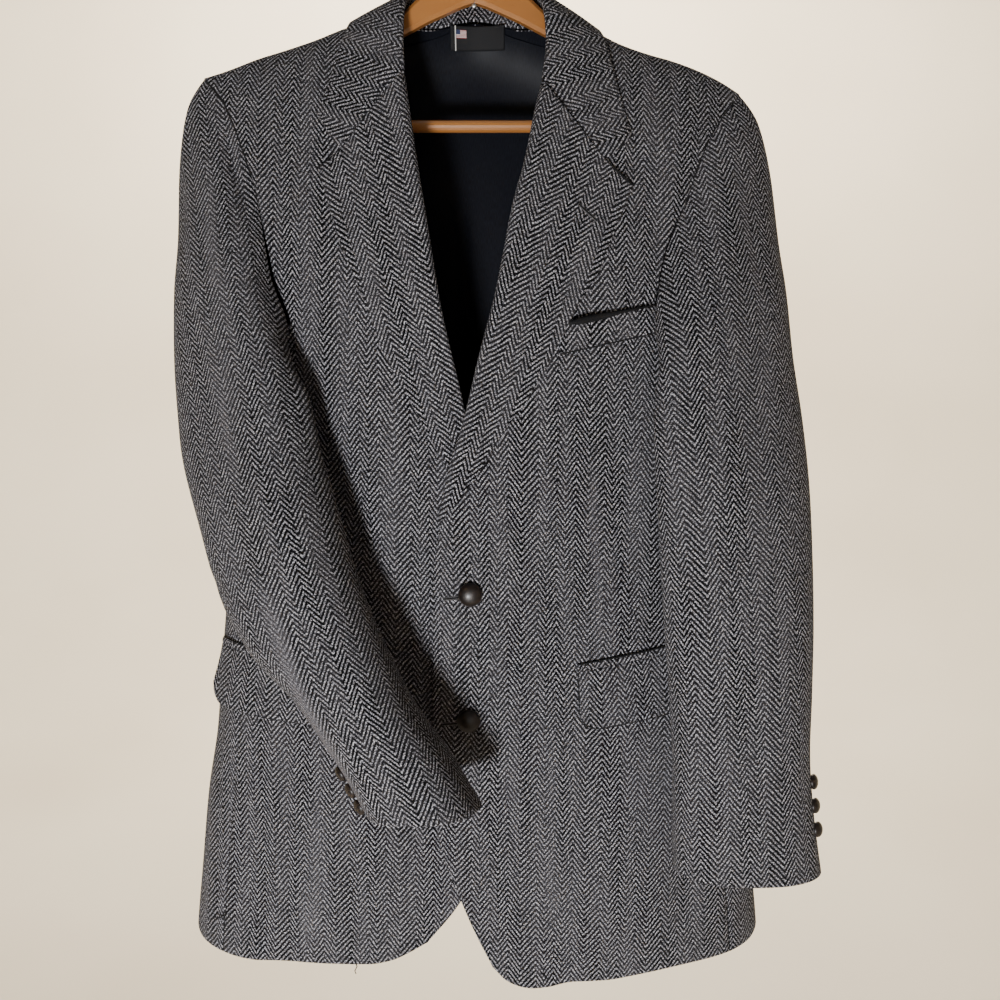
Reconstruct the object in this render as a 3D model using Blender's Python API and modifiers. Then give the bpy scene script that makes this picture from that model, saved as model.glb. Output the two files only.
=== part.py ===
"""A single-breasted tweed jacket, buttoned, hanging on a wooden hanger.

Sizes are in millimetres. +Z is up, the front of the jacket faces -Y, and the wearer's right is -X.
The origin is the inside top of the hanger's hook. Each piece of cloth is a wall between two grids
of points, both taken from the shape functions of the torso and the sleeves."""

import math

import bpy
import mathutils
import numpy as np

MM = 0.001
CLOTH = 2.0  # thickness of the tweed
LINING = 1.0
SEAM = 0.5  # the space left between two pieces where they are sewn together
SLEEVE_SEAM = 1.2  # the same at a sleeve, whose walls bend more sharply
RIGHT = -1  # the wearer's right is on the -X side
LEFT = 1

# The torso, up its height: half width, depth in front of and behind the shoulder line, and how
# square the front is
TORSO = np.array([
    # z,  half width, front, back, squareness
    (-955, 267, 75, 36, 0.22),
    (-921, 264, 76, 36, 0.22),
    (-870, 258, 76, 36, 0.21),
    (-801, 250, 77, 36, 0.19),
    (-725, 239, 78, 35, 0.14),
    (-680, 234, 79, 35, 0.08),
    (-630, 228, 80, 35, 0.03),
    (-560, 221, 82, 36, 0.0),
    (-480, 218, 84, 40, 0.0),
    (-400, 222, 82, 44, 0.0),
    (-320, 229, 76, 47, 0.04),
    (-250, 242, 68, 49, 0.1),
    (-200, 251, 62, 51, 0.12),
    (-160, 256, 56, 53, 0.12),
    (-60, 258, 50, 54, 0.12),
])
FRONT_ROUND = 250.0  # height over which the front comes forward from the shoulder line
BACK_ROUND = 90.0
BACK_SQUARE = 0.35
SIDE_SEAM = 0.875  # where the side panels start, as a share of the half width

SHOULDER = np.array([
    # x,   z
    (-229, -164),
    (-209, -158),
    (-184, -149),
    (-157, -141),
    (-135, -134),
    (-105, -123),
    (-74, -117),
    (-40, -104),
    (0, -90),
    (40, -104),
    (74, -119),
    (106, -129),
    (121, -136),
    (144, -144),
    (166, -150),
    (189, -158),
    (212, -169),
    (225, -177),
])
TIP_X = {RIGHT: -229.0, LEFT: 225.0}
NECK_X = {RIGHT: -74.0, LEFT: 74.0}

# The armhole seam in front, as x and z from the tip of the shoulder to the side panel
ARMHOLE_FRONT = {
    RIGHT: ((-229, -164), (-208, -188), (-197, -213), (-186, -241), (-178, -266), (-173, -284),
            (-170, -311), (-164, -335), (-157, -357), (-151, -377), (-161, -394), (-194, -403)),
    LEFT: ((225, -177), (203, -205), (187, -236), (178, -262), (170, -282), (161, -300),
           (154, -318), (151, -340), (149, -362), (149, -380), (162, -396), (194, -404)),
}
ARMHOLE_BACK = {
    RIGHT: ((-229, -164), (-213, -190), (-203, -220), (-196, -255), (-191, -290), (-188, -325),
            (-188, -360), (-194, -394)),
    LEFT: ((225, -177), (212, -198), (203, -225), (196, -258), (191, -292), (188, -326),
           (188, -360), (194, -394)),
}

# The line that each lapel rolls over, as it shows from the front, from the gorge down
ROLL = {
    RIGHT: ((-56, -140), (-55, -171), (-52, -190), (-48, -217), (-43, -249), (-36, -290),
            (-32, -315), (-26, -353), (-19, -388), (-11, -422), (-5, -450), (2, -480),
            (10, -510), (16, -535)),
    LEFT: ((58, -140), (54, -180), (51, -192), (47, -209), (42, -236), (31, -277), (23, -319),
           (16, -353), (5, -394), (-3, -428), (-11, -459), (-17, -477), (-24, -503),
           (-29, -530)),
}
# The outer edge of each lapel, from its tip down
LAPEL_EDGE = {
    RIGHT: ((-126, -245), (-120, -263), (-113, -284), (-105, -307), (-94, -332), (-87, -350),
            (-76, -384), (-61, -414), (-47, -440), (-31, -470), (-17, -494), (-2, -516),
            (10, -533)),
    LEFT: ((129, -259), (120, -280), (110, -302), (104, -319), (94, -339), (85, -352),
           (74, -371), (63, -394), (47, -424), (37, -439), (23, -458), (8, -484), (-9, -508),
           (-23, -527)),
}
GORGE = {RIGHT: ((-55, -171), (-106, -230)), LEFT: ((55, -180), (105, -238))}
COLLAR_TIP = {RIGHT: (-126, -202), LEFT: (128, -220)}
LAPEL_LINES = 16
ROLL_GAP = 2.5  # the inside radius of the roll

# The free edge of each front below its lapel, round the cutaway to the lowest corner
FRONT_EDGE = {
    RIGHT: ((18, -560), (18, -650), (18, -740), (15, -790), (6, -832), (-8, -864),
            (-25, -889), (-43, -910)),
    LEFT: ((-32, -557), (-34, -601), (-35, -646), (-35, -754), (-34, -790), (-29, -822),
           (-19, -851), (-8, -878), (2, -905), (15, -930)),
}
HEM = {
    RIGHT: ((-43, -910), (-71, -925), (-89, -929), (-109, -930), (-133, -931), (-173, -932),
            (-207, -936), (-231, -935)),
    LEFT: ((15, -930), (28, -944), (45, -951), (61, -951), (78, -947), (118, -946), (142, -943),
           (182, -938), (231, -935)),
}
SIDE_HEM = ((0, -935), (0.25, -931), (0.5, -923), (0.75, -922), (1, -923))
BACK_HEM = -923.0

COLUMNS = 12  # of each front and back
LOW_ROWS = 14  # from the hem to the underarm
TOP_ROWS = 11  # from the underarm to the shoulder
SIDE_COLUMNS = 5
NECK_COLUMNS = 4  # of a back, along the neck
BACK_RISE = 12.0  # how much higher the underarm row lies at the centre of the back

# The folds of the fronts: each runs from one point to another and moves the cloth out by its depth
FOLDS = np.array([
    # x0,  z0,   x1,  z1,  width, depth
    (-96, -300, -150, -200, 26, -2.5),
    (92, -300, 150, -215, 24, -2.0),
    (-60, -560, -150, -500, 22, -2.5),
    (-30, -600, -140, -590, 20, -2.0),
    (40, -600, 150, -560, 24, -2.5),
    (30, -590, 120, -500, 18, -1.5),
    (-150, -930, -150, -760, 34, 3.0),
    (120, -940, 128, -740, 36, 3.0),
    (190, -935, 190, -800, 24, -3.0),
    (-205, -930, -200, -790, 22, -3.0),
])

# The sleeves, ring by ring from the underarm down: the inner and the outer edge, the depth of the
# front and the back half, how far the seams have turned in degrees, and how closely the sleeve's
# hidden side lies along the torso (1 is against it)
SLEEVE = {
    RIGHT: np.array([
        # inner x, y, z,     outer x, y, z,     front, back, turn, hug
        (-131, -89, -427, -253, -12, -350, 33, 17, 0, 1.0),
        (-124, -95, -452, -252, -20, -406, 36, 20, 3, 1.0),
        (-119, -99, -474, -247, -34, -455, 37, 22, 6, 0.7),
        (-110, -107, -503, -237, -54, -503, 38, 24, 10, 0.3),
        (-101, -115, -537, -214, -84, -559, 38, 28, 15, 0.0),
        (-89, -122, -577, -190, -108, -619, 38, 32, 20, 0.0),
        (-71, -130, -617, -150, -124, -655, 40, 34, 26, 0.0),
        (-52, -136, -658, -120, -131, -695, 41, 34, 32, 0.0),
        (-20, -141, -703, -97, -138, -731, 41, 34, 38, 0.0),
        (7, -146, -747, -84, -142, -755, 40, 34, 42, 0.0),
    ]),
    LEFT: np.array([
        (146, -83, -427, 263, -16, -348, 33, 17, 0, 1.0),
        (145, -87, -456, 269, -26, -406, 34, 20, 2, 1.0),
        (146, -90, -484, 277, -40, -466, 35, 22, 4, 0.7),
        (150, -94, -535, 281, -54, -525, 36, 23, 7, 0.3),
        (155, -96, -600, 283, -66, -592, 36, 24, 10, 0.0),
        (161, -96, -662, 284, -74, -655, 35, 25, 14, 0.0),
        (166, -96, -725, 283, -78, -718, 34, 26, 18, 0.0),
        (167, -96, -782, 288, -80, -776, 34, 27, 22, 0.0),
        (170, -93, -829, 297, -82, -833, 34, 28, 25, 0.0),
    ]),
}
CAP_RINGS = 5
TUBE_RINGS = {RIGHT: 11, LEFT: 10}
# The way that the sleeve leaves the armhole: at the tip of the shoulder, then every 45 degrees
# forward and down round the armhole (out, forward, down)
LEAVES = np.array([
    (0.8, 0.0, 0.6),
    (0.7, 0.35, 0.6),
    (0.5, 0.6, 0.6),
    (0.15, 0.75, 0.65),
    (0.85, 0.2, 0.5),
    (0.92, -0.1, 0.65),
    (0.8, -0.3, 0.5),
    (0.65, -0.2, 0.74),
])
CAP_PULL = 75.0
FORE_LEAD = 28.0  # how far round the sleeve its cloth is led inwards there, in degrees
# Where the corners of the side panel come on a sleeve, in degrees round it from its outer edge
FRONT_CORNER = 170.0
BACK_CORNER = 285.0
HUG_END = 106.0  # how far round the torso the sleeve lies against it below the arm, in degrees
HUG_LIFT = 6.0
UNDERARM_IN = 0.35  # how far the side panel's top edge lies in, clear of the sleeve

COLLAR_LINES = 10  # from the gorge to the middle of the back

FINISHES = {
    # colour, roughness, metallic
    "tweed": ((0.115, 0.105, 0.09), 0.9, 0.0),
    "satin": ((0.008, 0.009, 0.013), 0.45, 0.0),
    "label": ((0.012, 0.012, 0.014), 0.7, 0.0),
    "horn": ((0.05, 0.03, 0.018), 0.35, 0.0),
    "wood": ((0.32, 0.17, 0.07), 0.4, 0.0),
    "steel": ((0.6, 0.6, 0.6), 0.25, 1.0),
}


# Curves and numbers

def smooth_at(t, ts, values):
    """A smooth curve through the values at ts, read at t."""
    t = np.asarray(t, float)
    ts = np.asarray(ts, float)
    values = np.asarray(values, float)
    slopes = np.gradient(values, ts, axis=0)
    i = np.clip(np.searchsorted(ts, t) - 1, 0, len(ts) - 2)
    span = ts[i + 1] - ts[i]
    f = np.clip((t - ts[i]) / span, 0, 1)
    if values.ndim > 1:
        f = f[..., None]
        span = span[..., None]
    a = (1 + 2 * f) * (1 - f) ** 2
    b = f * (1 - f) ** 2
    c = f * f * (3 - 2 * f)
    e = f * f * (f - 1)
    return a * values[i] + b * span * slopes[i] + c * values[i + 1] + e * span * slopes[i + 1]


def ease(t):
    t = np.clip(t, 0, 1)
    return t * t * (3 - 2 * t)


def unit(v):
    v = np.asarray(v, float)
    return v / np.maximum(np.linalg.norm(v, axis=-1, keepdims=True), 1e-9)


def along(points, shares):
    """Points at the given shares of a polyline's length."""
    points = np.asarray(points, float)
    run = np.concatenate([[0], np.cumsum(np.linalg.norm(np.diff(points, axis=0), axis=1))])
    return smooth_at(np.asarray(shares) * run[-1], run, points)


# The torso

def column_at(z, column):
    return smooth_at(z, TORSO[:, 0], TORSO[:, column])


def shoulder_z(x):
    return smooth_at(np.clip(x, -229, 225), SHOULDER[:, 0], SHOULDER[:, 1])


def fold_depth(x, z, front):
    total = np.zeros(np.broadcast(x, z).shape)
    for x0, z0, x1, z1, width, depth in FOLDS:
        run = np.array((x1 - x0, z1 - z0), float)
        length = np.hypot(*run)
        share = ((x - x0) * run[0] + (z - z0) * run[1]) / length**2
        off = ((x - x0) * run[1] - (z - z0) * run[0]) / length
        ends = ease(share / 0.3) * ease((1.12 - share) / 0.3)
        total = total + depth * np.exp(-((off / width) ** 2) * 2) * ends
    return np.where(front, total, 0)


def torso(angle, z, lift=0.0):
    """The outer face of the jacket at an angle round it (0 is the middle of the front, the wearer's
    left is positive), moved out by a lift."""
    angle = np.asarray(angle, float)
    z = np.asarray(z, float)
    front = np.cos(angle) > 0
    x0 = column_at(z, 1) * np.sin(angle)
    lift = lift + fold_depth(x0, z, front) * ease((-150 - z) / 80)
    x = (column_at(z, 1) + lift) * np.sin(angle)
    down = np.maximum(shoulder_z(x) + np.maximum(lift, 0) - z, 0)
    rise = np.where(front, down / FRONT_ROUND, down / BACK_ROUND)
    rise = np.sqrt(1 - (1 - np.minimum(rise, 1)) ** 2)
    square = np.where(front, column_at(z, 4), BACK_SQUARE)
    depth = np.where(front, column_at(z, 2), column_at(z, 3))
    depth = depth * rise + lift * np.minimum(1, rise * 3)
    y = -depth * np.cos(angle) * (1 + square * np.sin(angle) ** 2)
    return np.stack([x, y, np.broadcast_to(z, x.shape)], axis=-1)


def angle_of(x, z, back=False):
    angle = np.arcsin(np.clip(np.asarray(x, float) / column_at(z, 1), -1, 1))
    return np.where(back, np.where(angle >= 0, np.pi, -np.pi) - angle, angle)


def on_front(x, z, lift=0.0):
    return torso(angle_of(x, z), z, lift)


def out_of(angle, z, lift=0.0):
    """The outward direction of the torso there."""
    step = 0.4
    turn = 0.002
    z = np.minimum(z, shoulder_z(column_at(z, 1) * np.sin(angle)) - 1.2)
    round_it = torso(angle + turn, z, lift) - torso(angle - turn, z, lift)
    up_it = torso(angle, z + step, lift) - torso(angle, z - step, lift)
    return unit(np.cross(round_it, up_it))


# Solids

def material(node, kind):
    """The material of one node, of a kind named in FINISHES."""
    colour, roughness, metallic = FINISHES[kind]
    made = bpy.data.materials.new(f"{kind}_{node}")
    made.use_nodes = True
    shader = made.node_tree.nodes["Principled BSDF"]
    shader.inputs["Base Color"].default_value = (*colour, 1)
    shader.inputs["Roughness"].default_value = roughness
    shader.inputs["Metallic"].default_value = metallic
    return made


def add_solid(name, points, faces, kind):
    """A mesh object from points in millimetres, its faces turned outwards."""
    points = np.asarray(points, float)
    corners = [points[list(face)] for face in faces]
    volume = 0.0
    for corner in corners:
        for i in range(1, len(corner) - 1):
            volume += float(np.dot(corner[0], np.cross(corner[i], corner[i + 1])))
    if volume < 0:
        faces = [tuple(reversed(face)) for face in faces]
    mesh = bpy.data.meshes.new(name)
    mesh.from_pydata([tuple(p) for p in points * MM], [], faces)
    mesh.update()
    for polygon in mesh.polygons:
        polygon.use_smooth = True
    mesh.materials.append(material(name, kind))
    made = bpy.data.objects.new(name, mesh)
    jacket.objects.link(made)
    return made


def quads(rows, columns, start=0, closed=False):
    """The faces of a grid of points whose first point has the index start."""
    count = columns if closed else columns - 1
    for r in range(rows - 1):
        for c in range(count):
            e = (c + 1) % columns
            yield (start + r * columns + c, start + r * columns + e,
                   start + (r + 1) * columns + e, start + (r + 1) * columns + c)


def wall(name, outer, inner, kind="tweed"):
    """The solid between two grids of points, closed by rims along its four edges."""
    rows, columns = outer.shape[:2]
    half = rows * columns
    points = np.concatenate([outer.reshape(-1, 3), inner.reshape(-1, 3)])
    faces = list(quads(rows, columns))
    faces += [tuple(reversed(face)) for face in quads(rows, columns, half)]
    for row in (0, rows - 1):
        for column in range(columns - 1):
            a = row * columns + column
            face = (a, a + half, a + 1 + half, a + 1)
            faces.append(face if row == 0 else tuple(reversed(face)))
    for column in (0, columns - 1):
        for row in range(rows - 1):
            a = row * columns + column
            b = a + columns
            face = (a, b, b + half, a + half)
            faces.append(face if column == 0 else tuple(reversed(face)))
    return add_solid(name, points, faces, kind)


def pull_in(outer, inner, edges, amount=SEAM / 2):
    """Moves the named edges of a wall in, so that a seam's two pieces stay apart."""
    for grid in (outer, inner):
        if "first_row" in edges:
            grid[0] += amount * unit(grid[1] - grid[0])
        if "last_row" in edges:
            grid[-1] += amount * unit(grid[-2] - grid[-1])
        if "first_column" in edges:
            grid[:, 0] += amount * unit(grid[:, 1] - grid[:, 0])
        if "last_column" in edges:
            grid[:, -1] += amount * unit(grid[:, -2] - grid[:, -1])


def grid_out(grid, closed=False):
    """The direction square to a grid at each of its points."""
    if closed:
        across = np.roll(grid, -1, axis=1) - np.roll(grid, 1, axis=1)
    else:
        across = np.gradient(grid, axis=1)
    down = np.gradient(grid, axis=0)
    return unit(np.cross(across, down))


# Where the rows of the fronts, sides and backs lie

def top_share():
    """How far each upper row lies below the shoulder line, closer together near it."""
    turn = np.radians(np.concatenate([[90, 85.1], np.linspace(78.5, 0, TOP_ROWS - 1)]))
    return 1 - np.cos(turn)


def under_share(x, z):
    """How much of the right front lies under the left one."""
    return ease((x + 98) / 55) * ease((-z - 335) / 85)


RIGHT_UNDER = 5.7  # how far inwards the right front lies where the left one covers it


def roll_radius(side, z):
    """The inside radius of the roll: it is pressed flat where the right lapel goes under."""
    z = np.asarray(z, float)
    if side == RIGHT:
        return 0.4 + (ROLL_GAP - 0.4) * (1 - ease((-z - 360) / 65))
    return 0.5 + (ROLL_GAP - 0.5) * (1 - ease((-z - 470) / 55))


def front_inner_edge(side):
    """The inner edge of a front, from the shoulder down to its lowest corner: the neck, the line
    just inside the roll, then the free edge."""
    roll = [(x + side * (roll_radius(side, z) + CLOTH), z) for x, z in ROLL[side][1:]]
    neck = (NECK_X[side], float(shoulder_z(NECK_X[side])))
    start = roll[0]
    between = [(start[0] + side * 2.5, start[1] + 22), (start[0] + side * 8, start[1] + 40)]
    return np.array([neck] + between[::-1] + roll + list(FRONT_EDGE[side]), float)


def panel_lines(side, back=False):
    """The inner and outer edge of a front or a back, row by row from the hem, as x and z."""
    table = ARMHOLE_BACK if back else ARMHOLE_FRONT
    upper_outer = along(table[side], top_share())
    low = np.linspace(0, 1, LOW_ROWS + 1)[:-1]
    hem_z = BACK_HEM if back else HEM[side][-1][1]
    z = hem_z + (upper_outer[0][1] - hem_z) * low
    lower_outer = np.stack([side * SIDE_SEAM * column_at(z, 1), z], axis=-1)
    return np.concatenate([lower_outer, upper_outer])


def front_grid(side):
    """x and z of a front's rows and columns, the rows from the hem up."""
    outer = panel_lines(side)
    edge = along(front_inner_edge(side), np.linspace(0, 1, 400))
    underarm = -364 if side == RIGHT else -372
    start = int(np.argmin(np.abs(edge[:, 1] - underarm)))
    upper = edge[: start + 1]
    down = shoulder_z(upper[:, 0]) - upper[:, 1]
    shares = top_share()
    x = np.interp(shares * down[-1], down, upper[:, 0])
    inner_top = np.stack([x, shoulder_z(x) - shares * down[-1]], axis=-1)
    lower = edge[start:][::-1]
    inner_low = along(lower, np.linspace(0, 1, LOW_ROWS + 1)[:-1])
    inner = np.concatenate([inner_low, inner_top])
    u = np.linspace(0, 1, COLUMNS + 1)[None, :]
    grid = inner[:, None] * (1 - u[..., None]) + outer[:, None] * u[..., None]
    # The upper rows follow the shoulder line between their ends, and the lowest ones the hem.
    straight = shoulder_z(inner[:, 0])[:, None] * (1 - u) + shoulder_z(outer[:, 0])[:, None] * u
    high = ease((np.arange(len(inner)) - LOW_ROWS + 4) / 5.0)[:, None]
    grid[..., 1] += high * (shoulder_z(grid[..., 0]) - straight)
    hem = along(HEM[side], np.linspace(0, 1, COLUMNS + 1))
    fade = (1 - np.arange(len(inner)) / 7.0).clip(0, 1)[:, None, None] ** 1.5
    grid += fade * (hem - grid[0])[None]
    return grid


def front_lift(side, x, z):
    """How far a front's outer face lies out of the torso's."""
    return -RIGHT_UNDER * under_share(x, z) if side == RIGHT else np.zeros(np.shape(x))


def make_front(side):
    grid = front_grid(side)
    x = grid[..., 0]
    z = grid[..., 1]
    angle = angle_of(x, z)
    lift = front_lift(side, x, z)
    outer = torso(angle, z, lift)
    out = out_of(angle, z, lift)
    out[-1] = shoulder_out(x[-1])
    blend_armhole(out, side, back=False)
    inner = outer - CLOTH * out
    pull_in(outer, inner, ("last_row", "last_column"))
    pull_in(outer, inner, ("first_column",), 1.1)
    name = "front_right" if side == RIGHT else "front_left"
    return wall(name, outer, inner)


def shoulder_out(x):
    step = 1.0
    slope = (shoulder_z(x + step) - shoulder_z(x - step)) / (2 * step)
    return unit(np.stack([-slope, np.zeros_like(x), np.ones_like(x)], axis=-1))


def back_grid(side):
    """x and z of a back's rows and columns, from the hem up and from the centre seam out. Its top
    row runs along the neck and then the shoulder."""
    outer = panel_lines(side, back=True)
    neck = back_neck(side)
    u = np.linspace(0, 1, COLUMNS + 1)
    arm_x, arm_z = outer[LOW_ROWS]
    centre_z = arm_z + BACK_RISE
    low = np.linspace(0, 1, LOW_ROWS + 1)[:-1]
    grid = np.zeros((len(outer), COLUMNS + 1, 2))
    for row, share in enumerate(low):
        inner_z = BACK_HEM + (centre_z - BACK_HEM) * share
        grid[row, :, 0] = outer[row][0] * u
        grid[row, :, 1] = inner_z + (outer[row][1] - inner_z) * u
    neck_x = np.linspace(0, NECK_X[side], NECK_COLUMNS + 1)
    shoulder_x = np.linspace(NECK_X[side], outer[-1][0], COLUMNS + 1 - NECK_COLUMNS)
    top_x = np.concatenate([neck_x[:-1], shoulder_x])
    neck_down = (shoulder_z(neck[:, 0]) - neck[:, 1])[::-1]
    top_down = np.interp(np.abs(top_x), np.abs(neck[::-1, 0]), neck_down)
    base_x = arm_x * u
    base_down = shoulder_z(base_x) - (centre_z - BACK_RISE * u)
    for row, share in enumerate(top_share(), LOW_ROWS):
        x = base_x + (top_x - base_x) * (1 - share)
        x = x + (outer[row][0] - x[-1]) * u
        down = top_down + (base_down - top_down) * share
        edge_down = shoulder_z(outer[row][0]) - outer[row][1]
        down = down + (edge_down - down[-1]) * u**2
        grid[row, :, 0] = x
        grid[row, :, 1] = shoulder_z(x) - down
    return grid


def back_neck(side):
    """The neck seam of a back from the shoulder to the middle, as x and z."""
    x = NECK_X[side] * np.array((1.0, 0.92, 0.8, 0.65, 0.45, 0.22, 0.0))
    down = np.array((0.0, 1.8, 5.2, 10.0, 15.0, 18.2, 19.5))
    return np.stack([x, shoulder_z(x) - down], axis=-1)


def make_back(side):
    grid = back_grid(side)
    x = grid[..., 0]
    z = grid[..., 1]
    angle = angle_of(x + side * 1e-6, z, back=True)
    outer = torso(angle, z)
    out = out_of(angle, z)
    seam = np.abs(x[-1]) >= abs(NECK_X[side]) - 1e-6
    out[-1][seam] = shoulder_out(x[-1])[seam]
    out[:, 0, 0] = 0
    out[:, 0] = unit(out[:, 0])
    blend_armhole(out, side, back=True)
    inner = outer - CLOTH * out
    pull_in(outer, inner, ("last_row", "last_column", "first_column"))
    name = "back_right" if side == RIGHT else "back_left"
    return wall(name, outer, inner)


def side_grid(side):
    """Angle and z of a side panel, the columns from the front seam to the back one."""
    front = panel_lines(side)[: LOW_ROWS + 1]
    back = panel_lines(side, back=True)[: LOW_ROWS + 1]
    a0 = angle_of(front[:, 0], front[:, 1])
    a1 = angle_of(back[:, 0], back[:, 1], back=True)
    u = np.linspace(0, 1, SIDE_COLUMNS + 1)
    angle = a0[:, None] * (1 - u) + a1[:, None] * u
    z = front[:, 1][:, None] * (1 - u) + back[:, 1][:, None] * u
    share = np.arange(LOW_ROWS + 1) / LOW_ROWS
    hem = np.interp(u, *np.array(SIDE_HEM).T)
    z = z + (1 - share[:, None]) ** 3 * (hem - z[0])
    z = z - share[:, None] ** 6 * 12 * np.sin(np.pi * u)
    return angle, z


def make_side(side):
    angle, z = side_grid(side)
    outer = torso(angle, z)
    out = out_of(angle, z)
    _, body_way, _ = armhole(side)
    out[-1] = body_way[TOP_ROWS: TOP_ROWS + SIDE_COLUMNS + 1]
    outer[-1] -= UNDERARM_IN * out_of(angle[-1], z[-1])
    inner = outer - CLOTH * out
    pull_in(outer, inner, ("first_column", "last_column"), 0.4)
    name = "side_right" if side == RIGHT else "side_left"
    return wall(name, outer, inner)


# The armhole, and the sleeve that leaves it

ARMHOLES = {}


def armhole(side):
    """The loop of the armhole from the tip of the shoulder down the front, under the arm and up
    the back, the direction of the body's wall along it, and the same for the sleeve: its angles,
    the way that it leaves, its wall's direction and the way that it is kept apart."""
    if side in ARMHOLES:
        return ARMHOLES[side]
    front = front_grid(side)[LOW_ROWS:, -1][::-1]
    back = back_grid(side)[LOW_ROWS:, -1]
    angle, z = side_grid(side)
    a_front = angle_of(front[:, 0], front[:, 1])
    a_back = angle_of(back[:, 0], back[:, 1], back=True)
    angles = np.concatenate([a_front, angle[-1][1:-1], a_back])
    heights = np.concatenate([front[:, 1], z[-1][1:-1], back[:, 1]])
    loop = torso(angles, heights)
    out = out_of(angles, heights)
    out[0] = out[-1] = shoulder_out(np.array([TIP_X[side]]))[0]
    run = np.concatenate([[0], np.cumsum(np.linalg.norm(np.diff(loop, axis=0), axis=1))])
    corners = run[[0, TOP_ROWS, TOP_ROWS + SIDE_COLUMNS, -1]]
    theta = np.interp(run, corners, (0, FRONT_CORNER, BACK_CORNER, 360))
    leave = smooth_at(theta / 45, np.arange(9), np.concatenate([LEAVES, LEAVES[:1]]))
    leave = unit(leave * np.array((side, -1, -1)))
    edge = np.gradient(loop, axis=0)
    edge[0] = edge[-1] = unit(loop[1] - loop[0]) + unit(loop[-1] - loop[-2])
    # The sleeve's outward direction where it starts: square to its way out and to the seam.
    sleeve_out = unit(np.cross(edge, leave)) * side
    # Where the sleeve turns back over the body the two walls part, and elsewhere they are mitred.
    share = ease((np.sum(out * sleeve_out, axis=-1, keepdims=True) + 0.75) / 0.6)
    body_way = unit(out + share * sleeve_out)
    sleeve_way = unit(sleeve_out + share * out)
    mitre = unit(out + sleeve_out)
    away = -side * np.cross(edge, out)
    apart = unit(np.cross(mitre, edge))
    apart *= np.sign(np.sum(apart * away, axis=-1, keepdims=True))
    apart = unit(apart * share + out * (1 - share))
    ARMHOLES[side] = (loop, body_way, (theta, leave, sleeve_way, apart))
    return ARMHOLES[side]


def blend_armhole(out, side, back):
    """Gives a front's or a back's armhole edge the direction in which it meets the sleeve."""
    _, body_way, _ = armhole(side)
    if back:
        out[LOW_ROWS:, -1] = body_way[TOP_ROWS + SIDE_COLUMNS:]
    else:
        out[LOW_ROWS:, -1] = body_way[: TOP_ROWS + 1][::-1]


def clear_torso(points, lift, has_cloth):
    """Moves points that come closer to the torso than a lift out of it, where it has cloth."""
    z = points[..., 2]
    front = points[..., 1] < 0
    half = column_at(z, 1) + lift
    sine = np.clip(np.abs(points[..., 0]) / half, 0, 1)
    square = np.where(front, column_at(z, 4), BACK_SQUARE)
    depth = np.where(front, column_at(z, 2), column_at(z, 3)) + lift
    down = np.maximum(shoulder_z(points[..., 0]) + lift - z, 0)
    rise = np.where(front, down / FRONT_ROUND, down / BACK_ROUND)
    rise = np.sqrt(1 - (1 - np.minimum(rise, 1)) ** 2)
    depth = np.maximum(depth * (1 + square * sine**2) * rise, 1)
    moved = points.copy()
    for _ in range(4):
        inside = np.sqrt((moved[..., 0] / half) ** 2 + (moved[..., 1] / depth) ** 2)
        slope = np.stack([moved[..., 0] / half**2, moved[..., 1] / depth**2], axis=-1)
        slope /= np.maximum(inside, 1e-3)[..., None]
        steep = np.maximum(np.linalg.norm(slope, axis=-1), 1e-6)
        step = np.minimum(np.maximum(1 - inside, 0) * has_cloth / steep, 25)
        moved[..., :2] += slope * (step / steep)[..., None]
    return moved


def keep_outside(points, side, lift):
    """Moves points of a sleeve out of the torso, which has no cloth inside its armhole."""
    z = points[..., 2]
    arms = []
    for table in (ARMHOLE_FRONT, ARMHOLE_BACK):
        line = np.array(table[side], float)
        arms.append(np.interp(-z, -line[:, 1], np.abs(line[:, 0])))
    arm = np.where(points[..., 1] < 0, arms[0], arms[1])
    has_cloth = np.maximum(ease((arm + 6 - np.abs(points[..., 0])) / 12), ease((-z - 396) / 10))
    return clear_torso(points, lift, has_cloth)


def hugging(side, row, degrees):
    """Points of a ring where the sleeve lies against the side of the torso and leaves it again
    behind, for angles of the ring from 180 to 360 degrees."""
    inner = row[0:3]
    outer = row[3:6]
    start = abs(float(np.degrees(angle_of(inner[0], inner[2]))))
    turns = np.radians(np.array((start + 14, 62, 76, 90, HUG_END))) * side
    level = inner[2] + (outer[2] - inner[2]) * np.array((0.0, 0.02, 0.05, 0.12, 0.3))
    against = torso(turns, level, HUG_LIFT)
    leaving = (against[-1] + outer) / 2 + np.array((side * 2.0, 7.0, -4.0))
    line = np.concatenate([inner[None], against, leaving[None], outer[None]])
    return along(line, np.clip((degrees - 180) / 180, 0, 1))


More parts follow.
